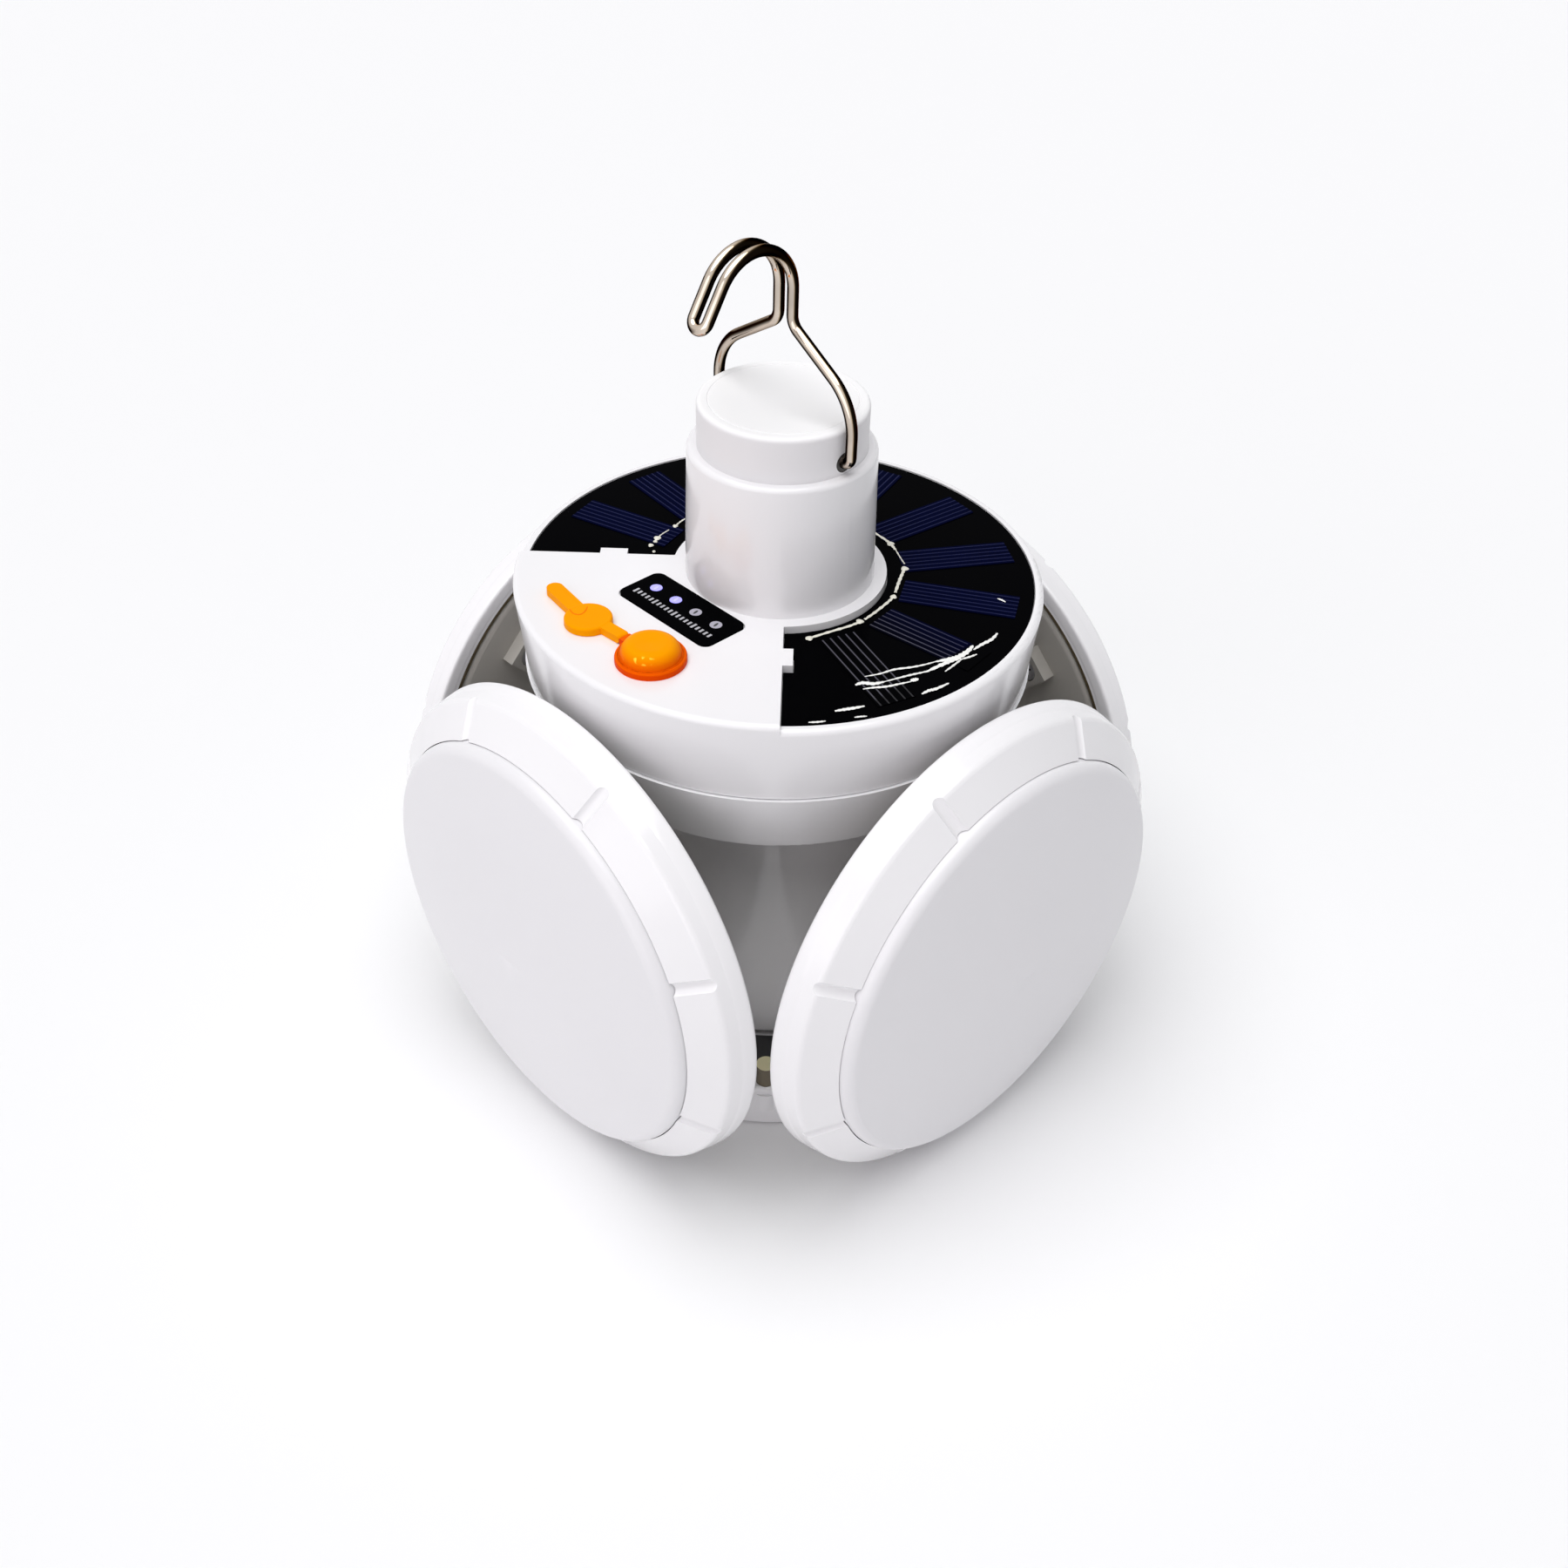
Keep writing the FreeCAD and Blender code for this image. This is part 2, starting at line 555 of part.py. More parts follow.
def make_lower_casing():
    body = new_body("lower_casing")
    split = "(casing_top - upper_depth - parting_gap)"
    revolve(body, [
        ("stem_radius + fit_gap", "casing_top - lower_depth"),
        ("lower_radius", "casing_top - lower_depth"),
        ("parting_radius + lower_ledge", split),
        ("parting_radius - casing_wall - fit_gap", split),
        ("parting_radius - casing_wall - fit_gap", f"{split} + spigot_height"),
        ("parting_radius - casing_wall * 2", f"{split} + spigot_height"),
        ("parting_radius - casing_wall * 2", split),
        ("lower_radius - casing_wall", CASING_FLOOR),
        ("stem_radius + fit_gap", CASING_FLOOR),
    ])
    round_rims(body, [("lower_radius", "casing_top - lower_depth")], "rim_round")
    pocket(body, circles(body, "XY_Plane", diagonal_places("boss_place"), "screw_radius + fit_gap",
                         CASING_FLOOR), "casing_wall")
    seats = [screw(x, y, "casing_top - lower_depth", "casing_wall + head_height * 5")
             for x, y in diagonal_places("boss_place")]
    group("casing_screws", seats)


def make_neck():
    tube = new_body("neck_tube")
    bore = "(neck_step_radius - neck_wall)"
    revolve(tube, [
        (bore, PLATE_UNDER),
        ("neck_spigot", PLATE_UNDER),
        ("neck_spigot", DECK),
        ("neck_foot_radius", DECK),
        ("neck_step_radius", "casing_top + neck_step"),
        (bore, "casing_top + neck_step"),
    ])
    round_rims(tube, [("neck_step_radius", "casing_top + neck_step")], "edge_round")
    cap = new_body("neck_cap")
    spigot = f"({bore} - fit_gap)"
    ring = "fit_gap"
    revolve(cap, [
        ("0", "casing_top + cap_top - neck_wall"),
        (f"{spigot} - neck_wall", "casing_top + cap_top - neck_wall"),
        (f"{spigot} - neck_wall", "casing_top + neck_step - cap_spigot"),
        (spigot, "casing_top + neck_step - cap_spigot"),
        (spigot, "casing_top + neck_step"),
        ("cap_radius", "casing_top + neck_step"),
        ("cap_radius", "casing_top + cap_top"),
        (f"cap_ring_radius + {ring}", "casing_top + cap_top"),
        ("cap_ring_radius", f"casing_top + cap_top - {ring}"),
        (f"cap_ring_radius - {ring}", "casing_top + cap_top"),
        ("0", "casing_top + cap_top"),
    ])
    round_rims(cap, [("cap_radius", "casing_top + cap_top")], "edge_round")
    pocket(cap, circles(cap, "YZ_Plane", [("0", "casing_top + hook_pivot")], "wire_radius + hole_play"),
           "cap_radius * 3", middle=True)


def make_solar_panel():
    board = new_body("solar_panel")
    pad(board, outline(board, "XY_Plane", panel_outline("fit_gap"), "casing_top - panel_recess"),
        "panel_thickness")
    face = "casing_top - panel_recess + panel_thickness"
    angles = [f"(first_cell + cell_pitch * {step})" for step in range(FIRST_CELLS)]
    last = f"(first_cell + cell_pitch * {FIRST_CELLS - 1})"
    angles += [f"({last} + closing_pitch * {step})" for step in range(1, LAST_CELLS + 1)]
    cells = []
    ribbons = []
    for formula in angles:
        angle = size(formula)
        cells.append(block("cell_length", "cell_width", "cell_thickness", angle,
                           "cell_inner + cell_length / 2", z=face))
        ribbons.append(block("ribbon_width", "ribbon_length", "cell_thickness", angle,
                             "cell_inner - ribbon_width", z=face))
    group("solar_cells", cells)
    group("solar_ribbons", ribbons)


def make_indicator():
    plate = new_body("indicator_plate")
    foot = f"{DECK} + plate_proud - plate_depth"
    pad(plate, outline(plate, "XY_Plane", rounded_plate("0"), foot), "plate_depth")
    pocket(plate, circles(plate, "XY_Plane", LENS_PLACES, "lens_radius + wire_play", foot),
           "plate_depth", up=True)
    lights = [block("led_height * 2", "led_height", "led_height", 0, x=x, y=y, z=BOARD_TOP)
              for x, y in LENS_PLACES]
    group("indicator_leds", lights)
    lens_foot = f"({BOARD_TOP} + led_height + fit_gap)"
    lenses = [cylinder("lens_radius", f"{DECK} + plate_proud - {lens_foot}", x, y, lens_foot)
              for x, y in LENS_PLACES]
    group("indicator_lenses", lenses)


# Rubber pieces of the control sector


def make_button():
    ring = new_body("button_flange")
    revolve(ring, [
        ("button_radius + fit_gap", "0"),
        ("flange_radius", "0"),
        ("flange_radius", "flange_height"),
        ("button_radius + fit_gap", "flange_height"),
    ])
    round_rims(ring, [("flange_radius", "flange_height")], "edge_round / 2")
    strap_end = "strap_hinge + strap_thickness / 2 + fit_gap"
    half = "strap_width / 2"
    lap = "button_x - (flange_radius + button_radius) / 2"
    pad(ring, outline(ring, "XY_Plane", [
        (f"{strap_end} - button_x", f"-{half}"),
        (f"{lap} - button_x", f"-{half}"),
        (f"{lap} - button_x", half),
        (f"{strap_end} - button_x", half),
    ], "0"), "strap_thickness")
    put(ring, "button_x", "button_y", DECK)

    button = new_body("push_button")
    under = "(flange_height - fit_gap)"
    dimple = "button_radius / 2"
    revolve(button, [
        ("0", "-plate_thickness - deck - fit_gap * 4"),
        ("button_stem", "-plate_thickness - deck - fit_gap * 4"),
        ("button_stem", under),
        ("button_radius", under),
        ("button_radius", "button_top"),
        (dimple, "button_top"),
        ("0", "button_top - fit_gap"),
    ])
    round_rims(button, [("button_radius", "button_top")], "button_round")
    put(button, "button_x", "button_y", DECK)


def make_port_plug():
    plug = new_body("port_plug")
    foot = "fit_gap / 3"
    pad(plug, circles(plug, "XY_Plane", [("0", "0")], "plug_radius", foot), f"plug_height - {foot}")
    round_rims(plug, [("plug_radius", "plug_height")], "edge_round / 2")
    pad(plug, circles(plug, "XY_Plane", [("0", "0")], "plug_stub", foot), f"plug_depth + {foot}", down=True)
    half = "strap_width / 2"
    rise = "button_y - plug_y"
    reach = "strap_hinge - plug_x"
    tip_x = "(tab_end_x - plug_x)"
    tip_y = "(tab_end_y - plug_y)"
    pad(plug, outline(plug, "XY_Plane", [
        (reach, f"{rise} - {half}"),
        (reach, f"{rise} + {half}"),
        ("plug_radius / 2", f"({rise}) / 2 + {half}"),
        ("plug_radius / 2", f"({rise}) / 2 - {half}"),
    ], foot), "strap_thickness")
    root_x = "(-plug_radius / 2)"
    pad(plug, outline(plug, "XY_Plane", [
        (root_x, "tab_end_radius"),
        (tip_x, f"{tip_y} + tab_end_radius", "tab_end_radius", 1),
        (f"{tip_x} - tab_end_radius", tip_y, "tab_end_radius", 1),
        (tip_x, f"{tip_y} - tab_end_radius"),
        (root_x, "-tab_end_radius", "tab_end_radius", 1),
        (f"{root_x} + tab_end_radius", "0", "tab_end_radius", 1),
    ], foot), "strap_thickness")
    bend = circles(plug, "XZ_Plane", [(reach, f"{foot} + strap_thickness / 2")], "strap_thickness / 2",
                   f"-({rise}) - {half}")
    pad(plug, bend, "strap_width")
    put(plug, "plug_x", "plug_y", DECK)


# Electrical pieces inside the casing and the stem


def make_main_board():
    board = new_body("main_board")
    pad(board, circles(board, "XY_Plane", [("0", "0")], "board_radius", BOARD_FOOT), "board_thickness")
    pocket(board, circles(board, "XY_Plane", diagonal_places("boss_place"), "boss_radius + fit_gap * 2",
                          BOARD_TOP), "board_thickness")
    case = block("switch_side", "switch_side", "switch_height", x="button_x", y="button_y", z=BOARD_TOP)
    plunger_top = f"({PLATE_UNDER} - fit_gap * 4 - button_travel - fit_gap)"
    plunger = cylinder("button_stem", f"{plunger_top} - {BOARD_TOP}", "button_x", "button_y", BOARD_TOP)
    fused("push_switch", [case, plunger])
    jack = new_body("charging_jack")
    floor = "jack_height / 4"
    revolve(jack, [
        ("0", "0"),
        ("jack_radius", "0"),
        ("jack_radius", "jack_height"),
        ("jack_bore", "jack_height"),
        ("jack_bore", floor),
        ("jack_bore / 3", floor),
        ("jack_bore / 3", "jack_height * 0.85"),
        ("0", "jack_height * 0.85"),
    ])
    put(jack, "plug_x", "plug_y", BOARD_TOP)


STEM_FLOOR = "(stem_foot + casing_wall)"
CELL_FOOT = f"({STEM_FLOOR} + contact_thickness)"


def make_stem():
    stem = new_body("stem_column")
    seat = CASING_FLOOR
    revolve(stem, [
        ("0", "stem_foot"),
        ("stem_radius", "stem_foot"),
        ("stem_radius", seat),
        ("stem_flange", seat),
        ("stem_flange", f"{seat} + casing_wall"),
        ("stem_radius - casing_wall", f"{seat} + casing_wall"),
        ("stem_radius - casing_wall", STEM_FLOOR),
        ("0", STEM_FLOOR),
    ])
    round_rims(stem, [("stem_radius", "stem_foot")], "edge_round")
    pocket(stem, circles(stem, "XY_Plane", diagonal_places("stem_screw_place"), "screw_radius + wire_play",
                         "stem_foot"), "casing_wall", up=True)

    cell = new_body("battery_cell")
    button_end = "cell_radius / 3"
    revolve(cell, [
        ("0", CELL_FOOT),
        ("cell_radius", CELL_FOOT),
        ("cell_radius", f"{CELL_FOOT} + cell_height - casing_wall"),
        (button_end, f"{CELL_FOOT} + cell_height - casing_wall"),
        (button_end, f"{CELL_FOOT} + cell_height"),
        ("0", f"{CELL_FOOT} + cell_height"),
    ])
    holder = new_body("battery_holder")
    inner = "(cell_radius + fit_gap)"
    revolve(holder, [
        (inner, STEM_FLOOR),
        (f"{inner} + holder_wall", STEM_FLOOR),
        (f"{inner} + holder_wall", f"{STEM_FLOOR} + holder_height"),
        (inner, f"{STEM_FLOOR} + holder_height"),
    ])
    window_low = f"{STEM_FLOOR} + holder_height * 0.2"
    window_high = f"{STEM_FLOOR} + holder_height * 0.8"
    window = outline(holder, "YZ_Plane", [
        ("-cell_radius / 2", window_low),
        ("cell_radius / 2", window_low),
        ("cell_radius / 2", window_high),
        ("-cell_radius / 2", window_high),
    ])
    pocket(holder, window, "cell_radius * 3", middle=True)
    top_contact = f"{CELL_FOOT} + cell_height"
    group("battery_contacts", [
        cylinder("cell_radius * 0.7", "contact_thickness", z=STEM_FLOOR),
        cylinder("cell_radius * 0.7", f"{BOARD_FOOT} - ({top_contact})", z=top_contact),
    ])


# The base and its light


def make_base():
    base = new_body("base_housing")
    under = "(base_top - base_plate)"
    revolve(base, [
        ("base_radius - base_wall", "base_split"),
        ("base_radius", "base_split"),
        ("base_radius", "base_top"),
        ("hub_radius", "base_top"),
        ("hub_radius", "stem_foot"),
        ("0", "stem_foot"),
        ("0", under),
        ("base_radius - base_wall", under),
    ])
    round_rims(base, [("base_radius", "base_top")], "edge_round")
    boss = "(base_radius - stud_place + stud_radius / 4)"
    boss_foot = "(base_split + diffuser_flange + fit_gap)"
    pad(base, circles(base, "XY_Plane", diagonal_places("stud_place"), boss, boss_foot),
        f"{under} - {boss_foot} + base_plate / 4")
    pocket(base, circles(base, "XY_Plane", diagonal_places("stud_place"), "stud_radius + wire_play",
                         "base_top"), "base_top - base_split")
    pocket(base, circles(base, "XY_Plane", diagonal_places("stem_screw_place"), "screw_radius + wire_play",
                         under), "stem_foot - base_top + base_plate", up=True)
    pocket(base, circles(base, "XY_Plane", diagonal_places("stem_screw_place"), "head_radius + fit_gap",
                         under), "head_height", up=True)
    web = "knuckle_radius / 2"
    root = "base_radius - base_wall * 0.75"
    ear = pad(base, outline(base, "XZ_Plane", [
        (root, f"hinge_z - {web}"),
        (f"hinge_x - sqrt(knuckle_radius^2 - ({web})^2)", f"hinge_z - {web}", "knuckle_radius", 1),
        ("hinge_x + knuckle_radius", "hinge_z", "knuckle_radius", 1),
        ("hinge_x", "hinge_z + knuckle_radius"),
        (root, "hinge_z + knuckle_radius"),
    ]), "ear_outer * 2", middle=True)
    hole = pocket(base, circles(base, "XZ_Plane", [("hinge_x", "hinge_z")], "pin_radius + pin_grip"),
                  "ear_outer * 3", middle=True)
    reach = "hinge_x + knuckle_radius * 2"
    slot = pocket(base, outline(base, "XZ_Plane", [
        ("base_radius", "hinge_z - knuckle_radius * 2"),
        (reach, "hinge_z - knuckle_radius * 2"),
        (reach, "hinge_z + knuckle_radius * 2"),
        ("base_radius", "hinge_z + knuckle_radius * 2"),
    ]), "ear_inner * 2", middle=True)
    polar(base, [ear, hole, slot], len(PETALS))

    bezel = new_body("base_bezel")
    revolve(bezel, [
        ("base_window", "base_split"),
        ("base_window", "stand_inner - base_window"),
        ("stand_inner", "0"),
        ("stand_outer", "0"),
        ("base_radius", "base_radius - stand_outer"),
        ("base_radius", "base_split"),
    ])
    half_step = 180 / GROOVES
    seats = [polar_place("stud_place", angle - half_step) for angle in DIAGONALS]
    pocket(bezel, circles(bezel, "XY_Plane", seats, "stud_radius + wire_play", "base_split"), "base_split / 2")
    groove = pocket(bezel, outline(bezel, "XZ_Plane", [
        ("base_window - groove_width", "-groove_depth"),
        ("base_radius + groove_width", "-groove_depth"),
        ("base_radius + groove_width", "groove_depth"),
        ("base_window - groove_width", "groove_depth"),
    ]), "groove_width", middle=True)
    polar(bezel, [groove], GROOVES)
    bezel.Placement.Rotation = FreeCAD.Rotation(UP, half_step)

    diffuser = new_body("base_diffuser")
    edge = "(base_window - fit_gap)"
    ball = f"(({edge}^2 + base_dome^2) / (2 * base_dome))"
    inner_edge = f"({edge} - diffuser_wall)"
    inner_ball = f"({ball} - diffuser_wall)"
    middle = f"(base_lift + {ball})"
    flange = "(stud_place - stud_radius - fit_gap * 2)"
    revolve(diffuser, [
        ("0", "base_lift", ball, 1),
        (edge, "base_lift + base_dome"),
        (edge, "base_split"),
        (flange, "base_split"),
        (flange, "base_split + diffuser_flange"),
        (inner_edge, "base_split + diffuser_flange"),
        (inner_edge, f"{middle} - sqrt({inner_ball}^2 - {inner_edge}^2)", inner_ball, -1),
        ("0", "base_lift + diffuser_wall"),
    ])

    board = new_body("base_led_board")
    reach = f"stud_place - {boss} - fit_gap * 2"
    pad(board, circles(board, "XY_Plane", [("0", "0")], reach, under), "led_board", down=True)
    lights = led_ring("led_ring", OUTER_LEDS, f"{under} - led_board - led_height")
    lights += led_ring("led_inner_ring", INNER_LEDS, f"{under} - led_board - led_height")
    group("base_leds", lights)
    group("base_studs", [cylinder("stud_radius", "base_top + stud_height - base_split / 2", x, y, "base_split / 2")
                         for x, y in diagonal_places("stud_place")])
    group("stem_screws", [screw(x, y, f"{under} + head_height", "stem_foot + casing_wall * 0.8 - base_top"
                                " + base_plate - head_height")
                          for x, y in diagonal_places("stem_screw_place")])


def led_ring(radius, count, foot):
    """LED packages spaced evenly on a ring, lying on the plane at foot."""
    return [block("led_length", "led_width", "led_height", 360 * step / count, radius, z=foot)
            for step in range(count)]


def make_hinge_pins():
    pins = []
    for name, angle in PETALS:
        along = Vector(-math.sin(math.radians(angle)), math.cos(math.radians(angle)), 0)
        x = f"hinge_x * cos({angle}) + ear_outer * sin({angle})"
        y = f"hinge_x * sin({angle}) - ear_outer * cos({angle})"
        pins.append(cylinder("pin_radius", "ear_outer * 2", x, y, "hinge_z", along))
    group("hinge_pins", pins)


# The petals, each made lying on its back: its own Z is outwards and its own Y is up


def stand_up(thing, angle, turn=0.0):
    """Stands a petal piece up at its side of the lamp; turn is about the petal's own axis."""
    out = Vector(math.cos(math.radians(angle)), math.sin(math.radians(angle)), 0)
    upright = FreeCAD.Rotation(UP.cross(out), UP, out, "ZXY")
    thing.Placement.Rotation = upright * FreeCAD.Rotation(UP, turn)
    return put(thing, f"petal_plane * cos({angle})", f"petal_plane * sin({angle})", "petal_height")


COVER_BACK = "(cover_inset - petal_depth)"
COVER_FLOOR = f"({COVER_BACK} + cover_floor)"
FLANGE_UNDER = "(-lip_depth - diffuser_flange)"
BOARD_SEAT = f"({COVER_FLOOR} + led_board_lift)"
POSTS = [(f"{a} * post_place", f"{b} * post_place") for a, b in ((1, 1), (-1, 1), (-1, -1), (1, -1))]


def make_petal_bezel(label, angle):
    bezel = new_body(label)
    revolve(bezel, [
        ("seam_radius", "0"),
        ("seam_radius", "-lip_depth"),
        ("cover_bore", "-lip_depth"),
        ("cover_bore", "-petal_depth"),
        ("petal_radius", "-petal_depth"),
        ("front_radius", "-front_drop"),
    ])
    round_rims(bezel, [("front_radius", "-front_drop")], "front_round")
    round_rims(bezel, [("petal_radius", "-petal_depth")], "rear_round")
    polar(bezel, [round_groove(bezel)], GROOVES)
    towards = 1 if angle in (90, 270) else -1
    stand_up(bezel, angle, 180 / GROOVES + towards * size("groove_turn"))


def round_groove(bezel):
    """A round-bottomed groove down the bezel's sloping face, which runs out at its front edge."""
    fall = "(front_radius - seam_radius)"
    run = f"sqrt({fall}^2 + front_drop^2)"
    along = Vector(size(fall), 0, -size("front_drop"))
    hollow = "((groove_width^2 / 4 + groove_depth^2) / (2 * groove_depth))"
    groove = bezel.newObject("PartDesign::SubtractiveCylinder", "Groove")
    tie(groove, Radius=hollow, Height=f"{run} + groove_width * 2")
    groove.Placement.Rotation = FreeCAD.Rotation(UP, along)
    off = f"({hollow} - groove_depth) / {run}"
    back = f"groove_width / {run}"
    put(groove, f"seam_radius - {fall} * {back} + front_drop * {off}", "0",
        f"front_drop * {back} + {fall} * {off}")
    doc.recompute()
    return groove


def make_petal_diffuser(label, angle):
    diffuser = new_body(label)
    edge = "(seam_radius - fit_gap)"
    inner_edge = f"({edge} - diffuser_wall)"
    bend = f"({edge} - dome_edge)"
    crown = f"(({bend}^2 + dome_height^2 - dome_edge^2) / (2 * (dome_height - dome_edge)))"
    inner_crown = f"({crown} - diffuser_wall)"
    across = f"({bend} / ({crown} - dome_edge))"
    rise = f"(({crown} - dome_height) / ({crown} - dome_edge))"
    revolve(diffuser, [
        ("0", "dome_height", crown, -1),
        (f"{crown} * {across}", f"dome_height - {crown} + {crown} * {rise}", "dome_edge", -1),
        (edge, "0"),
        (edge, "-lip_depth"),
        ("cover_bore - fit_gap", "-lip_depth"),
        ("cover_bore - fit_gap", FLANGE_UNDER),
        (inner_edge, FLANGE_UNDER),
        (inner_edge, "0", "dome_edge - diffuser_wall", 1),
        (f"{inner_crown} * {across}", f"dome_height - {crown} + {inner_crown} * {rise}", inner_crown, 1),
        ("0", "dome_height - diffuser_wall"),
    ])
    stand_up(diffuser, angle)


def make_petal_back(label, angle):
    cover = new_body(label)
    outer = "(cover_bore - cover_gap)"
    inner = f"({outer} - cover_rim)"
    revolve(cover, [
        ("0", COVER_BACK),
        (outer, COVER_BACK),
        (outer, FLANGE_UNDER),
        (inner, FLANGE_UNDER),
        (inner, COVER_FLOOR),
        ("0", COVER_FLOOR),
    ])
    round_rims(cover, [(outer, COVER_BACK)], "cover_round")
    reach = "post_place * sqrt(2)"
    sides = [(f"{reach} {a} post_side / 2", f"{b} post_side / 2") for a, b in ("--", "+-", "++", "-+")]
    corners = [(f"(({out}) - ({side})) * sqrt(0.5)", f"(({out}) + ({side})) * sqrt(0.5)") for out, side in sides]
    first = pad(cover, outline(cover, "XY_Plane", corners, COVER_BACK), "post_height", down=True)
    polar(cover, [first], len(POSTS))
    pad(cover, circles(cover, "XY_Plane", POSTS, "head_radius", COVER_FLOOR), "led_board_lift")
    post_end = f"({COVER_BACK} - post_height)"
    pocket(cover, circles(cover, "XY_Plane", POSTS, "screw_radius + wire_play", post_end),
           f"{BOARD_SEAT} - {post_end}", up=True)
    pocket(cover, circles(cover, "XY_Plane", POSTS, "cover_head + fit_gap", post_end),
           "head_height + fit_gap", up=True)
    pin_v = "(hinge_z - petal_height)"
    pin_a = "(hinge_x - petal_plane)"
    pad(cover, circles(cover, "YZ_Plane", [(pin_v, pin_a)], "knuckle_radius"), "knuckle_length", middle=True)
    heel = f"{pin_v} + knuckle_radius"
    toe = f"{pin_v} + knuckle_radius * 4.5"
    sunk = f"{COVER_BACK} + cover_floor / 3"
    pad(cover, outline(cover, "YZ_Plane", [
        (pin_v, f"{pin_a} - knuckle_radius"),
        (toe, COVER_BACK),
        (toe, sunk),
        (heel, sunk),
        (heel, pin_a),
        (pin_v, pin_a),
    ]), "knuckle_length", middle=True)
    pocket(cover, circles(cover, "YZ_Plane", [(pin_v, pin_a)], "pin_radius + pin_play"),
           "knuckle_length * 1.5", middle=True)
    stand_up(cover, angle)


def make_petal_lights(name, angle):
    board = new_body(f"petal_{name}_led_board")
    pad(board, circles(board, "XY_Plane", [("0", "0")], "seam_radius - diffuser_wall - fit_gap * 3",
                       BOARD_SEAT), "led_board")
    pocket(board, circles(board, "XY_Plane", POSTS, "screw_radius + wire_play", BOARD_SEAT),
           "led_board", up=True)
    stand_up(board, angle)
    face = f"{BOARD_SEAT} + led_board"
    lights = led_ring("led_ring", OUTER_LEDS, face) + led_ring("led_inner_ring", INNER_LEDS, face)
    stand_up(group(f"petal_{name}_leds", lights), angle)
    seat = f"{COVER_BACK} - post_height + head_height + fit_gap"
    screws = [screw(x, y, seat, f"{BOARD_SEAT} + led_board * 0.8 - ({seat})", head_size="cover_head")
              for x, y in POSTS]
    stand_up(group(f"petal_{name}_screws", screws), angle)


def make_petals():
    for name, angle in PETALS:
        make_petal_bezel(f"petal_{name}_bezel", angle)
        make_petal_diffuser(f"petal_{name}_diffuser", angle)
        make_petal_back(f"petal_{name}_back", angle)
        make_petal_lights(name, angle)


# The hook: one wire, bent in straight runs joined by arcs


def rounded_path(points, radii):
    """Edges of a path through points, each inner corner rounded by a tangent arc of its radius."""
    edges = []
    start = points[0]
    for corner, following, radius in zip(points[1:-1], points[2:], radii):
        back = (start - corner).normalize()
        ahead = (following - corner).normalize()
        half = back.getAngle(ahead) / 2
        cut = radius / math.tan(half)
        first = corner + back * cut
        last = corner + ahead * cut
        inward = (back + ahead).normalize()
        crown = corner + inward * (radius / math.sin(half) - radius)
        if (first - start).Length > 1e-6:
            edges.append(Part.LineSegment(start, first).toShape())
        edges.append(Part.Arc(first, crown, last).toShape())
        start = last
    edges.append(Part.LineSegment(start, points[-1]).toShape())
    return edges


def make_hook():
    top = size("casing_top")
    pivot = top + size("hook_pivot")
    pair = size("hook_pair")
    leg = size("hook_leg")
    wire = size("wire_radius")
    centre_y = -size("crook_radius")
    centre_z = top + size("crook_centre")
    foot_end = size("neck_step_radius - neck_wall * 2 - fit_gap")
    shoulder = [
        Vector(foot_end, 0, pivot),
        Vector(leg, 0, pivot),
        Vector(leg, 0, top + size("hook_knee")),
        Vector(pair, 0, top + size("hook_shoulder")),
        Vector(pair, 0, centre_z),
    ]
    ankle = size("hook_leg - cap_radius - wire_play")
    near = rounded_path(shoulder, [ankle, size("knee_radius"), wire * 3])

    def on_crook(turn, x):
        angle = math.radians(turn)
        out = size("crook_radius")
        return Vector(x, centre_y + out * math.cos(angle), centre_z + out * math.sin(angle))

    sweep = size("crook_sweep")
    near.append(Part.Arc(on_crook(0, pair), on_crook(sweep / 2, pair), on_crook(sweep, pair)).toShape())
    fall = math.radians(sweep + 90)
    along = Vector(0, math.cos(fall), math.sin(fall))
    tip = on_crook(sweep, pair) + along * size("crook_tip_run")
    near.append(Part.LineSegment(on_crook(sweep, pair), tip).toShape())
    mirror = FreeCAD.Matrix()
    mirror.A11 = -1
    far = [edge.transformGeometry(mirror) for edge in reversed(near)]
    middle = Vector(0, tip.y, tip.z) + along * pair
    bend = Part.Arc(tip, middle, Vector(-tip.x, tip.y, tip.z)).toShape()
    route = Part.Wire(Part.__sortEdges__(near + [bend] + far))
    path = doc.addObject("Part::Feature", "HookPath")
    path.Shape = route
    section = tie(doc.addObject("Part::Circle", "HookSection"), Radius="wire_radius")
    section.Placement = FreeCAD.Placement(shoulder[0], FreeCAD.Rotation(UP, Vector(1, 0, 0)))
    hook = doc.addObject("Part::Sweep", "hook_wire")
    hook.Sections = [section]
    hook.Spine = (path, [])
    hook.Solid = True
    hook.Frenet = False
    keep(hook, "hook_wire")
    return route.Length * math.pi * wire ** 2


make_top_cover()
make_lower_casing()
make_neck()
make_solar_panel()
make_indicator()
make_button()
make_port_plug()
make_main_board()
make_stem()
make_base()
make_hinge_pins()
make_petals()
wire_volume = make_hook()
doc.recompute()

for thing in doc.Objects:
    if "Invalid" in thing.State or "Error" in thing.State:
        raise RuntimeError(f"{thing.Label} failed: {thing.State}")
for piece in pieces:
    if piece.Shape.isNull() or not piece.Shape.isValid():
        raise RuntimeError(f"{piece.Label} has no valid shape")
hook_volume = next(piece for piece in pieces if piece.Label == "hook_wire").Shape.Volume
if abs(hook_volume / wire_volume - 1) > 0.01:
    raise RuntimeError(f"the hook's volume {hook_volume:.1f} is not its section times its length")

os.makedirs("parts", exist_ok=True)
for piece in pieces:
    piece.Shape.exportStep(f"parts/{piece.Label}.step")
print(f"{len(pieces)} pieces written")
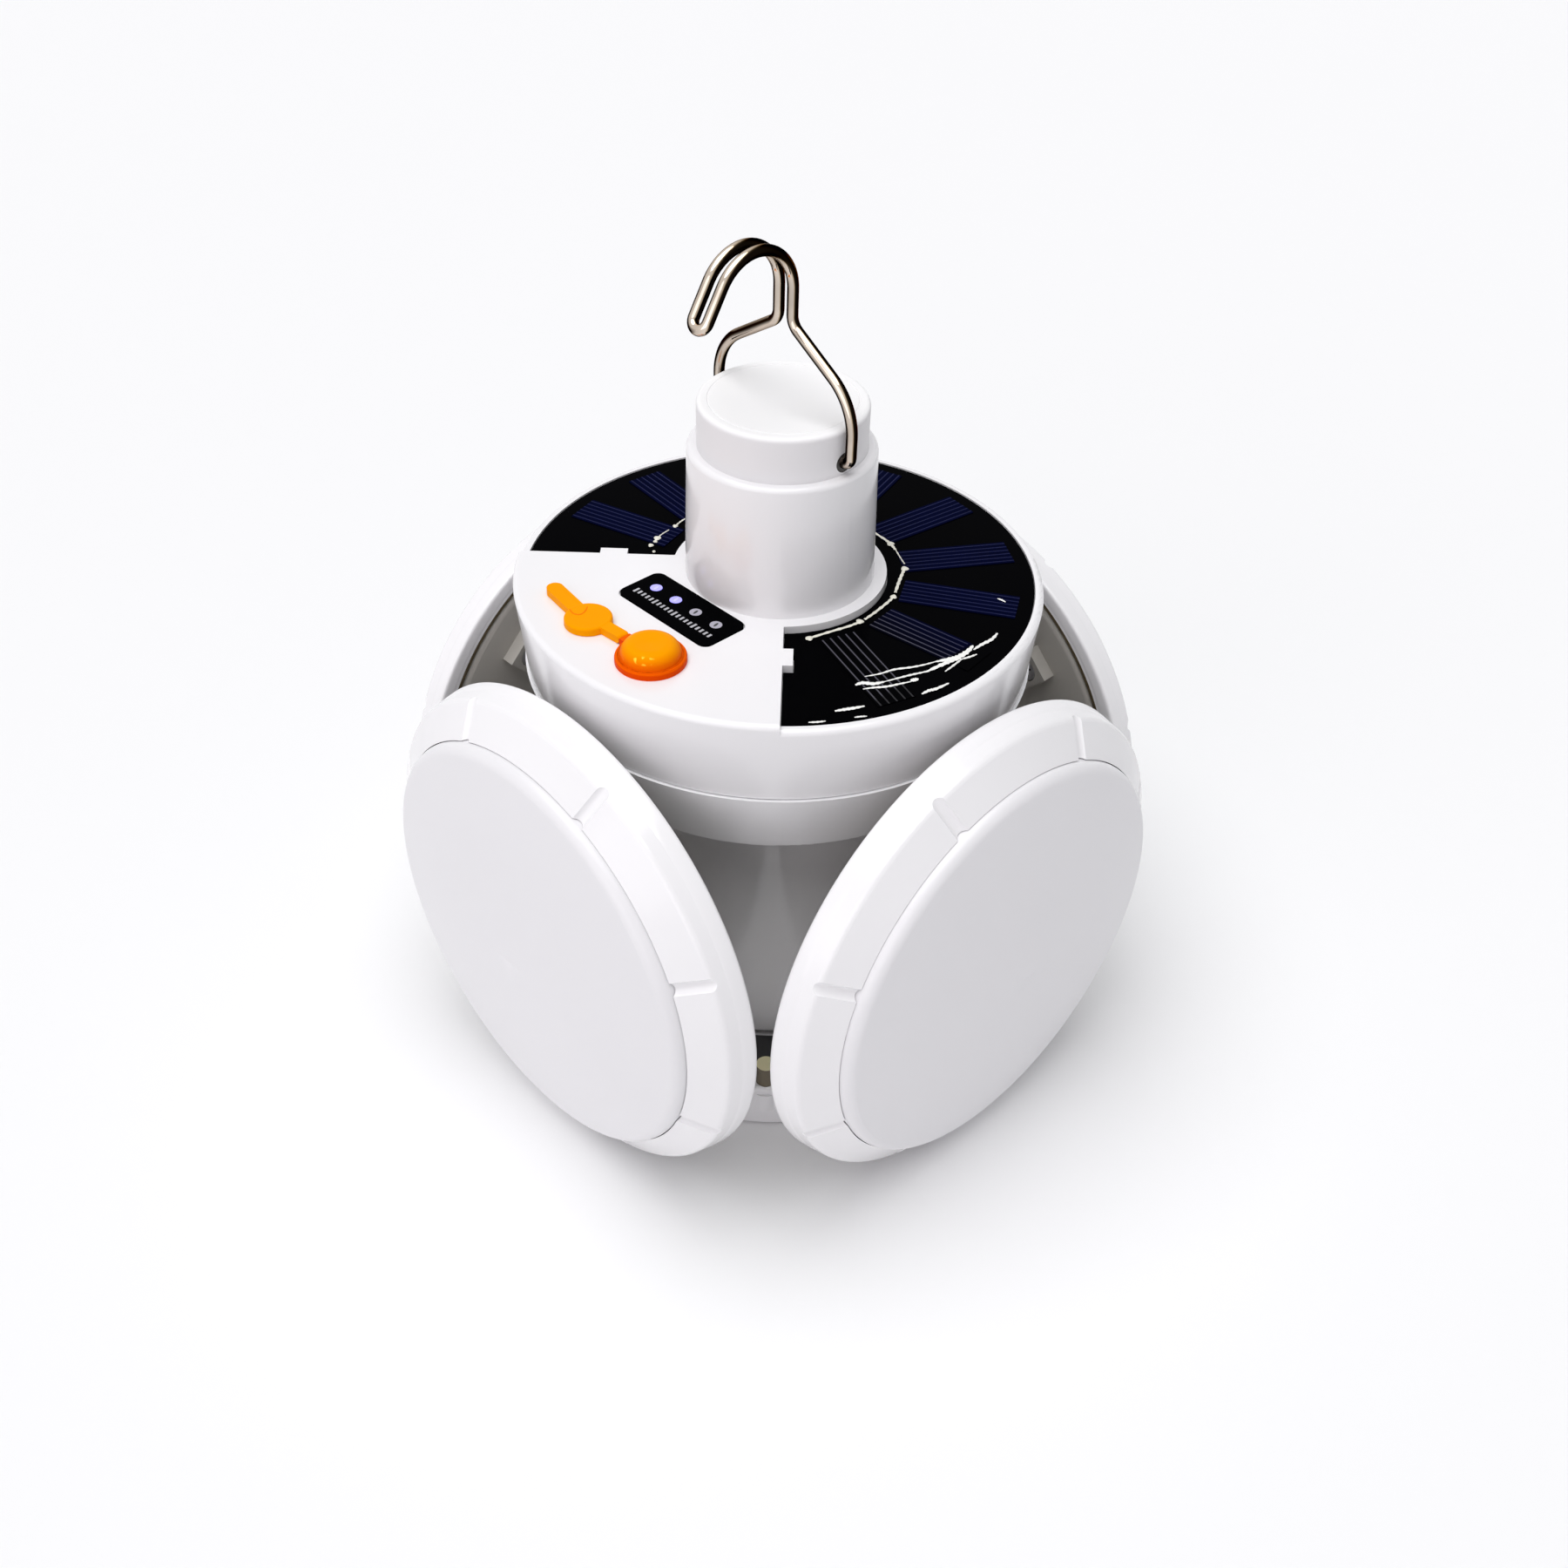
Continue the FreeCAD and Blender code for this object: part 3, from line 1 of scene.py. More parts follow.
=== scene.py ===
# %% [markdown]
# # A folding solar lamp, dressed for its portrait
#
# The lamp's solids come from CAD, packed with their joints. This lesson loads them as a fixed frame,
# puts the camera where the photographer stood, lights the lamp softly, and then gives each moulded,
# printed, plated or rubber surface its own finish. Small things that CAD leaves out, such as the fine
# lines on the solar cells and the crosses in the screw heads, are made here as meshes.

import json
import math

import bpy
from mathutils import Matrix, Quaternion, Vector


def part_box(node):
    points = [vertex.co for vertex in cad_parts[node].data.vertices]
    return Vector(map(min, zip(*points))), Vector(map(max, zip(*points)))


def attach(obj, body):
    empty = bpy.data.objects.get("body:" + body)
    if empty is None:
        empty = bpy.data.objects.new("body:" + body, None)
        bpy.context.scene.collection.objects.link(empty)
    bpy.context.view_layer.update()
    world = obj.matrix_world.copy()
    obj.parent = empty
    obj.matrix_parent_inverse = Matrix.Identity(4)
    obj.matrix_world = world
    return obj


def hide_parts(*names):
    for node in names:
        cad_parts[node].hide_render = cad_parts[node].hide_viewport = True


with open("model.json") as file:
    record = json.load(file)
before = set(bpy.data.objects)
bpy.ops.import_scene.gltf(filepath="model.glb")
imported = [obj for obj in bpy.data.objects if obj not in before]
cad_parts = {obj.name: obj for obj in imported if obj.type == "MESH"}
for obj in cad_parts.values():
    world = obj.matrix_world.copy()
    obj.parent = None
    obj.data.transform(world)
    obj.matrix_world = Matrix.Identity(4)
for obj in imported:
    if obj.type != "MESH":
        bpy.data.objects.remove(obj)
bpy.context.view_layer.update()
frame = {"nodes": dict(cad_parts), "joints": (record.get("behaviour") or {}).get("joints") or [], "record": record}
MM = 0.001

# %% [markdown]
# ## The camera
#
# The photograph looks down on the lamp from its right front corner, from quite near, so upright lines
# lean together. A camera was fitted to the round casing top and the petals' rims: its place, the point
# it looks at, a small roll and its lens are all that is needed to repeat the view.

# %% Place the camera
camera_data = bpy.data.cameras.new("portrait_camera")
camera_data.sensor_width = 36.0
camera_data.lens = 39.34
camera_data.clip_start = 0.01
camera = bpy.data.objects.new("portrait_camera", camera_data)
bpy.context.scene.collection.objects.link(camera)
camera_place = Vector((164.25, -160.54, 234.34)) * MM
camera_aim = Vector((1.07, 1.22, 46.94)) * MM
camera_roll = math.radians(1.583)
level = (camera_aim - camera_place).to_track_quat("-Z", "Y")
camera.location = camera_place
camera.rotation_mode = "QUATERNION"
camera.rotation_quaternion = level @ Quaternion((0, 0, 1), camera_roll)
bpy.context.scene.camera = camera
print("camera is", round((camera_aim - camera_place).length / MM), "mm from the point it looks at")

# %% [markdown]
# ## Light
#
# A white lamp on a white ground needs light that is soft but not even: most of it comes from above, some
# from the left front, and the rest is a dim room. The bright floor throws light back up under the petals.
# A broad sun gives every spot of the floor the same light, so the ground stays plain and only the lamp's
# own shadow shows. Area lamps would do too, but their light falls off across the floor and leaves a pool.

# %% Light the room
scene = bpy.context.scene
scene.view_settings.view_transform = "Standard"


def sun(name, towards, strength, spread, colour=(1, 1, 1)):
    """A broad sun that shines along a direction."""
    data = bpy.data.lights.new(name, "SUN")
    data.energy = strength
    data.angle = math.radians(spread)
    data.color = colour
    lamp = bpy.data.objects.new(name, data)
    scene.collection.objects.link(lamp)
    lamp.rotation_mode = "QUATERNION"
    lamp.rotation_quaternion = Vector(towards).to_track_quat("-Z", "Y")


sun("top_softbox", (0.0, 0.20, -1.0), 2.35, 60)
sun("front_softbox", (-0.25, 0.92, -0.26), 0.70, 55, (1.0, 0.94, 0.975))

# %% [markdown]
# The world stands for the rest of the room. The camera, mirror-like surfaces and clear ones see it plain
# white, as the photograph's ground is, and everything else gets a dim, slightly cool fill from it. One white
# world for all would be simpler, but would fill every shadow. Light Path tells which kind of ray asks.

# %% Make the world
world = bpy.data.worlds.new("pale_room")
scene.world = world
world.use_nodes = True
nodes, links = world.node_tree.nodes, world.node_tree.links
nodes.clear()
output = nodes.new("ShaderNodeOutputWorld")
fill = nodes.new("ShaderNodeBackground")
fill.inputs["Color"].default_value = (0.95, 0.96, 1.0, 1)
fill.inputs["Strength"].default_value = 0.285
backdrop = nodes.new("ShaderNodeBackground")
backdrop.inputs["Color"].default_value = (1, 1, 1, 1)
backdrop.inputs["Strength"].default_value = 1.0
path = nodes.new("ShaderNodeLightPath")
seen = nodes.new("ShaderNodeMath")
seen.operation = "MAXIMUM"
seen_all = nodes.new("ShaderNodeMath")
seen_all.operation = "MAXIMUM"
mix = nodes.new("ShaderNodeMixShader")
links.new(path.outputs["Is Camera Ray"], seen.inputs[0])
links.new(path.outputs["Is Glossy Ray"], seen.inputs[1])
links.new(seen.outputs[0], seen_all.inputs[0])
links.new(path.outputs["Is Transmission Ray"], seen_all.inputs[1])
links.new(seen_all.outputs[0], mix.inputs["Fac"])
links.new(fill.outputs[0], mix.inputs[1])
links.new(backdrop.outputs[0], mix.inputs[2])
links.new(mix.outputs[0], output.inputs["Surface"])
print("world", world.name)

# %% [markdown]
# ## Building blocks
#
# Every small piece is a mesh made of points and faces in the lamp's own frame. One helper makes the object,
# turns its millimetres into metres, gives it its finish and lets it ride on the body that carries it. Two
# more give a point by its angle and the faces between two rings of points, which most pieces need.

# %% Helpers for meshes
def new_piece(name, points, faces, finish, body=None, smooth=False):
    """A mesh object from points in millimetres, with its finish; it rides on a body when one is given."""
    mesh = bpy.data.meshes.new(name)
    mesh.from_pydata([Vector(p) * MM for p in points], [], faces)
    mesh.update()
    mesh.materials.append(finish)
    if smooth:
        mesh.polygons.foreach_set("use_smooth", [True] * len(mesh.polygons))
    piece = bpy.data.objects.new(name, mesh)
    scene.collection.objects.link(piece)
    if body:
        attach(piece, body)
    return piece


def polar(radius, degrees, height=0.0):
    """A point by its distance and angle round the upright axis."""
    angle = math.radians(degrees)
    return Vector((radius * math.cos(angle), radius * math.sin(angle), height))


def wall(low, top, sides):
    """Faces between two rings of points, given by the number of each ring's first point."""
    return [(low + k, low + (k + 1) % sides, top + (k + 1) % sides, top + k) for k in range(sides)]


# %% [markdown]
# ## Finishes
#
# A finish is a Principled shader fed by procedural noise. The CAD pieces have no painted coordinates, but
# each sits at the origin with its place in its points, so object coordinates are metres and a noise scale
# is simply how many waves go into a metre. Each finish gets a little colour drift, a little change of
# gloss and a fine bump, at the size the real surface shows.

# %% Helper for finishes
def new_finish(name, colour, roughness, drift=0.04, drift_scale=40, gloss=0.06, grain=1200, bump=0.00001,
               **sockets):
    """A Principled finish with colour drift, uneven gloss and a fine bump from noise."""
    finish = bpy.data.materials.new(name)
    finish.use_nodes = True
    tree = finish.node_tree
    shader = tree.nodes["Principled BSDF"]
    place = tree.nodes.new("ShaderNodeTexCoord")
    for socket, value in sockets.items():
        shader.inputs[socket.replace("_", " ")].default_value = value

    def noise(scale, detail):
        node = tree.nodes.new("ShaderNodeTexNoise")
        node.inputs["Scale"].default_value = scale
        node.inputs["Detail"].default_value = detail
        tree.links.new(place.outputs["Object"], node.inputs["Vector"])
        return node

    clouds = noise(drift_scale, 2)
    tint = tree.nodes.new("ShaderNodeMix")
    tint.data_type = "RGBA"
    dark = [channel * (1 - drift) for channel in colour]
    light = [min(channel * (1 + drift), 1) for channel in colour]
    tint.inputs["A"].default_value = (*dark, 1)
    tint.inputs["B"].default_value = (*light, 1)
    tree.links.new(clouds.outputs["Fac"], tint.inputs["Factor"])
    tree.links.new(tint.outputs["Result"], shader.inputs["Base Color"])
    sheen = tree.nodes.new("ShaderNodeMapRange")
    sheen.inputs["To Min"].default_value = max(roughness - gloss, 0.02)
    sheen.inputs["To Max"].default_value = roughness + gloss
    tree.links.new(noise(drift_scale * 6, 3).outputs["Fac"], sheen.inputs["Value"])
    tree.links.new(sheen.outputs["Result"], shader.inputs["Roughness"])
    relief = tree.nodes.new("ShaderNodeBump")
    relief.inputs["Distance"].default_value = bump
    tree.links.new(noise(grain, 2).outputs["Fac"], relief.inputs["Height"])
    tree.links.new(relief.outputs["Normal"], shader.inputs["Normal"])
    return finish


# %% [markdown]
# The shell is injection-moulded and glossy, a cool white. The petals' windows are milky: a little light
# goes into them and comes out again close by, so their finish is soft. The panel and the plate are black
# and the cells a deep navy, all under a coat that hardly mirrors: in a white room even a little gloss would
# turn black into grey, and the photograph shows it quite black.

# %% Mix the finishes
FINISHES = {
    "white_shell": new_finish("white_moulding", (0.855, 0.845, 0.86), 0.15, drift=0.012, gloss=0.02,
                              grain=2200, bump=0.0000012),
    # Painted shade: the back covers are white plastic like the shell, painted grey for the shade they sit in.
    "grey_cover": new_finish("cover_painted_shade", (0.45, 0.43, 0.395), 0.4, drift=0.05, gloss=0.04, grain=1800,
                             bump=0.000003),
    "milky_diffuser": new_finish("milky_window", (0.785, 0.775, 0.795), 0.32, drift=0.012, gloss=0.03,
                                 grain=1500, bump=0.000001),
    "black_gloss": new_finish("black_resin", (0.0010, 0.0010, 0.0014), 0.06, drift=0.3, gloss=0.02, grain=160,
                              bump=0.00001, Specular_IOR_Level=0.003),
    "solar_cell": new_finish("navy_cell", (0.0005, 0.0014, 0.016), 0.06, drift=0.35, drift_scale=120,
                             gloss=0.02, grain=160, bump=0.00001, Specular_IOR_Level=0.003),
    "tinned_ribbon": new_finish("tinned_ribbon", (0.80, 0.78, 0.68), 0.3, drift=0.25, drift_scale=500,
                                grain=700, bump=0.00005),
    "orange_rubber": new_finish("orange_silicone", (0.95, 0.335, 0.0005), 0.40, drift=0.04, drift_scale=200,
                                grain=2500, bump=0.00001, Specular_IOR_Level=0.03,
                                Specular_Tint=(1.0, 0.5, 0.06, 1)),
    "nickel_wire": new_finish("bright_nickel", (0.60, 0.54, 0.48), 0.07, drift=0.5, drift_scale=170,
                              gloss=0.03, grain=900, bump=0.000006, Metallic=1.0,
                              Specular_Tint=(0.25, 0.2, 0.17, 1)),
    "brass_stud": new_finish("turned_brass", (0.95, 0.88, 0.55), 0.3, drift=0.05, drift_scale=400),
    "steel": new_finish("zinc_plating", (0.55, 0.55, 0.56), 0.32, drift=0.1, drift_scale=600, Metallic=1.0),
    "battery_can": new_finish("cell_sleeve", (0.05, 0.11, 0.36), 0.3),
    "black_plastic": new_finish("black_moulding", (0.02, 0.02, 0.02), 0.45),
    "circuit_board": new_finish("white_solder_mask", (0.72, 0.74, 0.72), 0.4),
    "led_package": new_finish("led_phosphor", (0.85, 0.72, 0.18), 0.4),
}
print("finishes", sorted(FINISHES))

# %% [markdown]
# Some finishes are painted by the way the surface faces. The plated wire carries painted reflections: long
# dark streaks beside bright ones, where a mirror-bright wire would show the dark and light parts of the room.
# The turned stud carries painted light and shade: bright on its end, where light falls, and dull brown on its
# side, in shade. A ramp over the angle between the surface and a direction paints both. The direction belongs
# to the piece, so the painted streaks turn with it and stay the same from every side.

# %% Tint by facing
def tint_by_facing(finish, direction, stops):
    """Multiplies a finish's colour by a ramp over facing: -1 is away from the direction and 1 along it.

    A new ramp has two stops, so the first two entries are its lowest and highest.
    """
    tree = finish.node_tree
    shader = tree.nodes["Principled BSDF"]
    place = tree.nodes.new("ShaderNodeTexCoord")
    facing = tree.nodes.new("ShaderNodeVectorMath")
    facing.operation = "DOT_PRODUCT"
    facing.inputs[1].default_value = Vector(direction).normalized()
    tree.links.new(place.outputs["Normal"], facing.inputs[0])
    share = tree.nodes.new("ShaderNodeMapRange")
    share.inputs["From Min"].default_value = -1
    tree.links.new(facing.outputs["Value"], share.inputs["Value"])
    ramp = tree.nodes.new("ShaderNodeValToRGB")
    for k, (spot, colour) in enumerate(stops):
        stop = ramp.color_ramp.elements[k] if k < 2 else ramp.color_ramp.elements.new((spot + 1) / 2)
        stop.position = (spot + 1) / 2
        stop.color = (*colour, 1)
    tree.links.new(share.outputs["Result"], ramp.inputs["Fac"])
    tinted = tree.nodes.new("ShaderNodeMix")
    tinted.data_type = "RGBA"
    tinted.blend_type = "MULTIPLY"
    tinted.inputs["Factor"].default_value = 1.0
    tree.links.new(shader.inputs["Base Color"].links[0].from_socket, tinted.inputs["A"])
    tree.links.new(ramp.outputs["Color"], tinted.inputs["B"])
    tree.links.new(tinted.outputs["Result"], shader.inputs["Base Color"])


# Painted reflection: the wire's colour carries dark and bright streaks in place of the room it would mirror.
WIRE_PAINTED_REFLECTIONS = [
    (-1.0, (0.10, 0.07, 0.05)), (1.0, (0.5, 0.4, 0.25)),
    (-0.80, (0.02, 0.015, 0.01)), (-0.62, (0.9, 0.85, 0.8)), (-0.05, (1.0, 0.98, 0.95)),
    (0.14, (0.75, 0.66, 0.52)), (0.28, (0.05, 0.035, 0.02)), (0.42, (0.008, 0.006, 0.004)),
    (0.82, (0.008, 0.006, 0.004)), (0.94, (0.30, 0.20, 0.08)),
]
tint_by_facing(FINISHES["nickel_wire"], (0.66, 0.75, 0.05), WIRE_PAINTED_REFLECTIONS)
# Painted light and shade: the stud's end is lit and its side shaded.
tint_by_facing(FINISHES["brass_stud"], (0, 0, 1), [(0.1, (0.15, 0.13, 0.13)), (0.6, (1, 1, 1))])
print("wire and studs tinted")

# %% [markdown]
# The four charge indicators are one CAD piece. The left two are lit, so their finish glows blue-violet where
# the object's own X is low, and stays a grey lens elsewhere. Two finishes would need two pieces; a step on
# the coordinate does it in one.

# %% Make the indicator finish
LIT_EDGE = -1.2
lens = new_finish("indicator_lens", (0.40, 0.39, 0.46), 0.2, drift=0.1, drift_scale=900)
tree = lens.node_tree
shader = tree.nodes["Principled BSDF"]
shader.inputs["Emission Color"].default_value = (0.10, 0.085, 0.80, 1)
place = tree.nodes.new("ShaderNodeTexCoord")
axes = tree.nodes.new("ShaderNodeSeparateXYZ")
lit = tree.nodes.new("ShaderNodeMath")
lit.operation = "LESS_THAN"
lit.inputs[1].default_value = LIT_EDGE * MM
tree.links.new(place.outputs["Object"], axes.inputs[0])
tree.links.new(axes.outputs["X"], lit.inputs[0])
tree.links.new(lit.outputs[0], shader.inputs["Emission Strength"])
FINISHES["indicator_lens"] = lens
print("indicator finish made")

# %% [markdown]
# Each CAD piece names the slot of its material, so one loop dresses them all. Four pieces then get a finish
# of their own, with painted light and shade: the button and its flange are the same rubber, the flange painted
# a deeper orange as shade round the dome and both painted darker on their sides; the cap is painted brighter
# than the shell to make up for the hook's shadow on its top, and a little greyer round its side as shade; the
# lower casing, deep in shade, is painted paler to lift that shade.

# %% Dress the CAD pieces
for subpart in frame["record"]["subparts"]:
    part = frame["nodes"][subpart["node"]]
    part.data.materials.clear()
    part.data.materials.append(FINISHES[subpart["material_slot"]])
# Painted shade: the flange is the button's rubber, painted a deeper orange and darker on its sides for the shade
# round the dome.
flange_finish = new_finish("orange_silicone_painted_shade", (0.93, 0.30, 0.0005), 0.45, drift=0.06, drift_scale=200,
                           grain=2500, bump=0.00001, Specular_IOR_Level=0.03,
                           Specular_Tint=(1.0, 0.4, 0.05, 1))
tint_by_facing(flange_finish, (0, 0, 1), [(0.2, (0.85, 0.22, 0.8)), (0.75, (0.90, 0.38, 1))])
# Painted shade: the dome's sides are painted darker than its top.
button_finish = new_finish("button_silicone", (0.95, 0.335, 0.0005), 0.40, drift=0.03, drift_scale=200,
                           grain=2500, bump=0.00001, Specular_IOR_Level=0.03,
                           Specular_Tint=(1.0, 0.5, 0.06, 1))
tint_by_facing(button_finish, (0, 0, 1), [(0.3, (0.94, 0.48, 1)), (0.9, (1, 1, 1))])
# Painted light and shade: brighter than the shell to make up for the hook's shadow, greyer round its side.
cap_finish = new_finish("white_cap_painted_light", (0.97, 0.965, 0.97), 0.35, drift=0.01, gloss=0.02, grain=2200,
                        bump=0.0000012, Specular_IOR_Level=0.12)
tint_by_facing(cap_finish, (0, 0, 1), [(0.3, (0.82, 0.81, 0.82)), (0.8, (1, 1, 1))])
# Painted light: the lower casing is painted paler than the shell to lift the shade it sits in.
lower_finish = new_finish("moulding_painted_paler", (0.96, 0.955, 0.97), 0.2, drift=0.01, gloss=0.02, grain=2200,
                          bump=0.0000012)
OWN_FINISHES = {"button_flange": flange_finish, "push_button": button_finish, "neck_cap": cap_finish,
                "lower_casing": lower_finish}
for node, finish in OWN_FINISHES.items():
    frame["nodes"][node].data.materials[0] = finish

# %% [markdown]
# The button's dome carries painted glints at its front edge: small pale spots of noise, kept to the part of
# the dome that faces forward, stand in for highlights on its moulded texture. As meshes they would be
# needlessly small.

# %% Paint glints on the button
# Painted highlight: pale spots on the forward-facing part of the dome.
GLINT_COLOUR = (1.0, 0.68, 0.05, 1)
GLINT_SCALE = 1300
GLINT_FACING = Vector((0.42, -0.62, 0.66)).normalized()
FACING_LIMITS, SPOT_LIMITS = (0.935, 0.975), (0.50, 0.60)
tree = button_finish.node_tree
shader = tree.nodes["Principled BSDF"]
place = tree.nodes.new("ShaderNodeTexCoord")
facing = tree.nodes.new("ShaderNodeVectorMath")
facing.operation = "DOT_PRODUCT"
facing.inputs[1].default_value = GLINT_FACING
tree.links.new(place.outputs["Normal"], facing.inputs[0])
spots = tree.nodes.new("ShaderNodeTexNoise")
spots.inputs["Scale"].default_value = GLINT_SCALE
spots.inputs["Detail"].default_value = 0
tree.links.new(place.outputs["Object"], spots.inputs["Vector"])
glints_painted = tree.nodes.new("ShaderNodeMath")
glints_painted.operation = "MULTIPLY"
masks = ((facing.outputs["Value"], FACING_LIMITS), (spots.outputs["Fac"], SPOT_LIMITS))
for socket, (value, (start, end)) in zip(glints_painted.inputs, masks):
    limit = tree.nodes.new("ShaderNodeMapRange")
    limit.inputs["From Min"].default_value = start
    limit.inputs["From Max"].default_value = end
    tree.links.new(value, limit.inputs["Value"])
    tree.links.new(limit.outputs["Result"], socket)
glint_mix = tree.nodes.new("ShaderNodeMix")
glint_mix.data_type = "RGBA"
glint_mix.inputs["B"].default_value = GLINT_COLOUR
tree.links.new(glints_painted.outputs[0], glint_mix.inputs["Factor"])
tree.links.new(shader.inputs["Base Color"].links[0].from_socket, glint_mix.inputs["A"])
tree.links.new(glint_mix.outputs["Result"], shader.inputs["Base Color"])
print("button worn")

# %% [markdown]
# ## The floor
#
# The floor is a plain pale sheet, large enough that its edge is far out of the picture, and a hair below the
# lamp so that the two don't flicker into each other. It catches the lamp's shadow and throws light back up.

# %% Lay the floor
FLOOR_REACH, FLOOR_DROP = 3000, 0.2
floor_finish = new_finish("pale_paper", (0.90, 0.90, 0.905), 0.9, drift=0.005, drift_scale=3, bump=0.0,
                          Specular_IOR_Level=0.1)
corners = [(x * FLOOR_REACH, y * FLOOR_REACH, 0) for x, y in ((-1, -1), (1, -1), (1, 1), (-1, 1))]
floor = new_piece("floor", corners, [(0, 1, 2, 3)], floor_finish)
floor.location.z = -FLOOR_DROP * MM
print("floor laid")

# %% [markdown]
# ## Fine lines on the solar cells
#
# Each cell carries thin printed silver lines along its length, which collect the current. They are far too
# thin for CAD, so each is a flat strip that lies on its cell. A striped texture could draw them too, but a
# mesh keeps them crisp in any copy of the model. The cells stand round the neck like the hours of a clock, so
# one loop over their angles makes all the lines as one mesh. The second cell's lines end at the wrinkles.

# %% Draw the cell lines
CELL_ANGLES = [-17.2 + 24.9 * k for k in range(6)] + [129.6, 151.9, 174.2, 196.5]
CELL_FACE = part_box("solar_cells")[1].z / MM
CELL_START, CELL_LENGTH, CELL_WIDTH = 19.6, 18.0, 6.2
CELL_MARGIN = 1.0
LINES_PER_CELL = [5] + [6] * (len(CELL_ANGLES) - 1)
LINE_LENGTHS = [CELL_LENGTH, 14.2] + [CELL_LENGTH] * (len(CELL_ANGLES) - 2)
LINE_WIDTH, LINE_RISE = 0.24, 0.03


def strip(points, faces, angle, across, start, end, width, height):
    """Adds one flat strip with slanted sides, along a direction from the lamp's middle."""
    along = polar(1, angle)
    side = Vector((-along.y, along.x, 0))
    first = len(points)
    for lift, half in ((0.0, width / 2), (height, width / 3)):
        for run, edge in ((start, -half), (end, -half), (end, half), (start, half)):
            points.append(along * run + side * (across + edge) + Vector((0, 0, CELL_FACE + lift)))
    faces.append(tuple(range(first + 4, first + 8)))
    faces += wall(first, first + 4, 4)


line_points, line_faces = [], []
for angle, lines, length in zip(CELL_ANGLES, LINES_PER_CELL, LINE_LENGTHS):
    for row in range(lines):
        across = (row / (lines - 1) - 0.5) * (CELL_WIDTH - CELL_MARGIN)
        strip(line_points, line_faces, angle, across, CELL_START, CELL_START + length, LINE_WIDTH, LINE_RISE)
line_finish = new_finish("silver_print", (0.0022, 0.0045, 0.040), 0.35, drift=0.3, drift_scale=300, grain=900,
                         Specular_IOR_Level=0.05)
new_piece("cell_lines", line_points, line_faces, line_finish, "lamp_body")
print("cell lines", sum(LINES_PER_CELL))

# %% [markdown]
# Seen from the front, the nearest cell looks black with silver lines, while the far ones look navy. A blend
# over the object's own Y does that, on the right half only. Beyond the wrinkles at the edge, both are darkened.

# %% Fade the cells and their lines towards the front
FADE_START, FADE_END = 9.0, -2.0
EDGE_DARK_START, EDGE_DARK_END = 33.2, 34.0
DEEP_BLACK = (0.001, 0.001, 0.0014)


def fade_to_front(finish, colour, hidden):
    """Blends a finish into another colour at the panel's right front, and darkens it beyond the wrinkles."""
    tree = finish.node_tree
    shader = tree.nodes["Principled BSDF"]
    place = tree.nodes.new("ShaderNodeTexCoord")
    axes = tree.nodes.new("ShaderNodeSeparateXYZ")
    tree.links.new(place.outputs["Object"], axes.inputs[0])

    def step(axis, start, end):
        node = tree.nodes.new("ShaderNodeMapRange")
        node.inputs["From Min"].default_value = start * MM
        node.inputs["From Max"].default_value = end * MM
        tree.links.new(axes.outputs[axis], node.inputs["Value"])
        return node.outputs["Result"]

    front = tree.nodes.new("ShaderNodeMath")
    front.operation = "MULTIPLY"
    tree.links.new(step("Y", FADE_START, FADE_END), front.inputs[0])
    tree.links.new(step("X", 0.0, 1.0), front.inputs[1])
    for share, tint in ((front.outputs[0], colour), (step("X", EDGE_DARK_START, EDGE_DARK_END), hidden)):
        blend = tree.nodes.new("ShaderNodeMix")
        blend.data_type = "RGBA"
        blend.inputs["B"].default_value = (*tint, 1)
        tree.links.new(share, blend.inputs["Factor"])
        tree.links.new(shader.inputs["Base Color"].links[0].from_socket, blend.inputs["A"])
        tree.links.new(blend.outputs["Result"], shader.inputs["Base Color"])


fade_to_front(line_finish, (0.070, 0.069, 0.086), (0.025, 0.025, 0.028))
fade_to_front(FINISHES["solar_cell"], DEEP_BLACK, DEEP_BLACK)
print("cells and lines fade to the front")

# %% [markdown]
# ## Solder and wrinkles
#
# Two kinds of bright ridges lie on the panel. A tinned ribbon joins the cells' inner ends, with a blob of
# solder at each joint. Near the outer edge the clear top layer has risen in uneven wrinkles. Both are low
# ridges that follow a bent path: a smooth curve through a few points is cut into short steps, and the ridge
# swells and thins along it. A bevelled curve could do this too, but rows of points show what happens.

# %% Helpers for ridges
RIDGE_SECTION = ((-0.5, 0.0), (-0.25, 0.8), (0.0, 1.0), (0.25, 0.8), (0.5, 0.0))
BLOB_RINGS = ((1.0, 0.0), (0.8, 0.65), (0.45, 0.93))
RIDGE_FLOOR = CELL_FACE + 0.02


def smooth_path(corners, steps=6):
    """Points of a smooth curve through the given ones."""
    ends = [corners[0], *corners, corners[-1]]
    path = []
    for a, b, c, d in zip(ends, ends[1:], ends[2:], ends[3:]):
        for k in range(steps):
            s = k / steps
            path.append(tuple(0.5 * (2 * q + (r - p) * s + (2 * p - 5 * q + 4 * r - v) * s ** 2
                                     + (3 * q - p - 3 * r + v) * s ** 3) for p, q, r, v in zip(a, b, c, d)))
    return [Vector((*p, 0)) for p in path] + [Vector((*corners[-1], 0))]


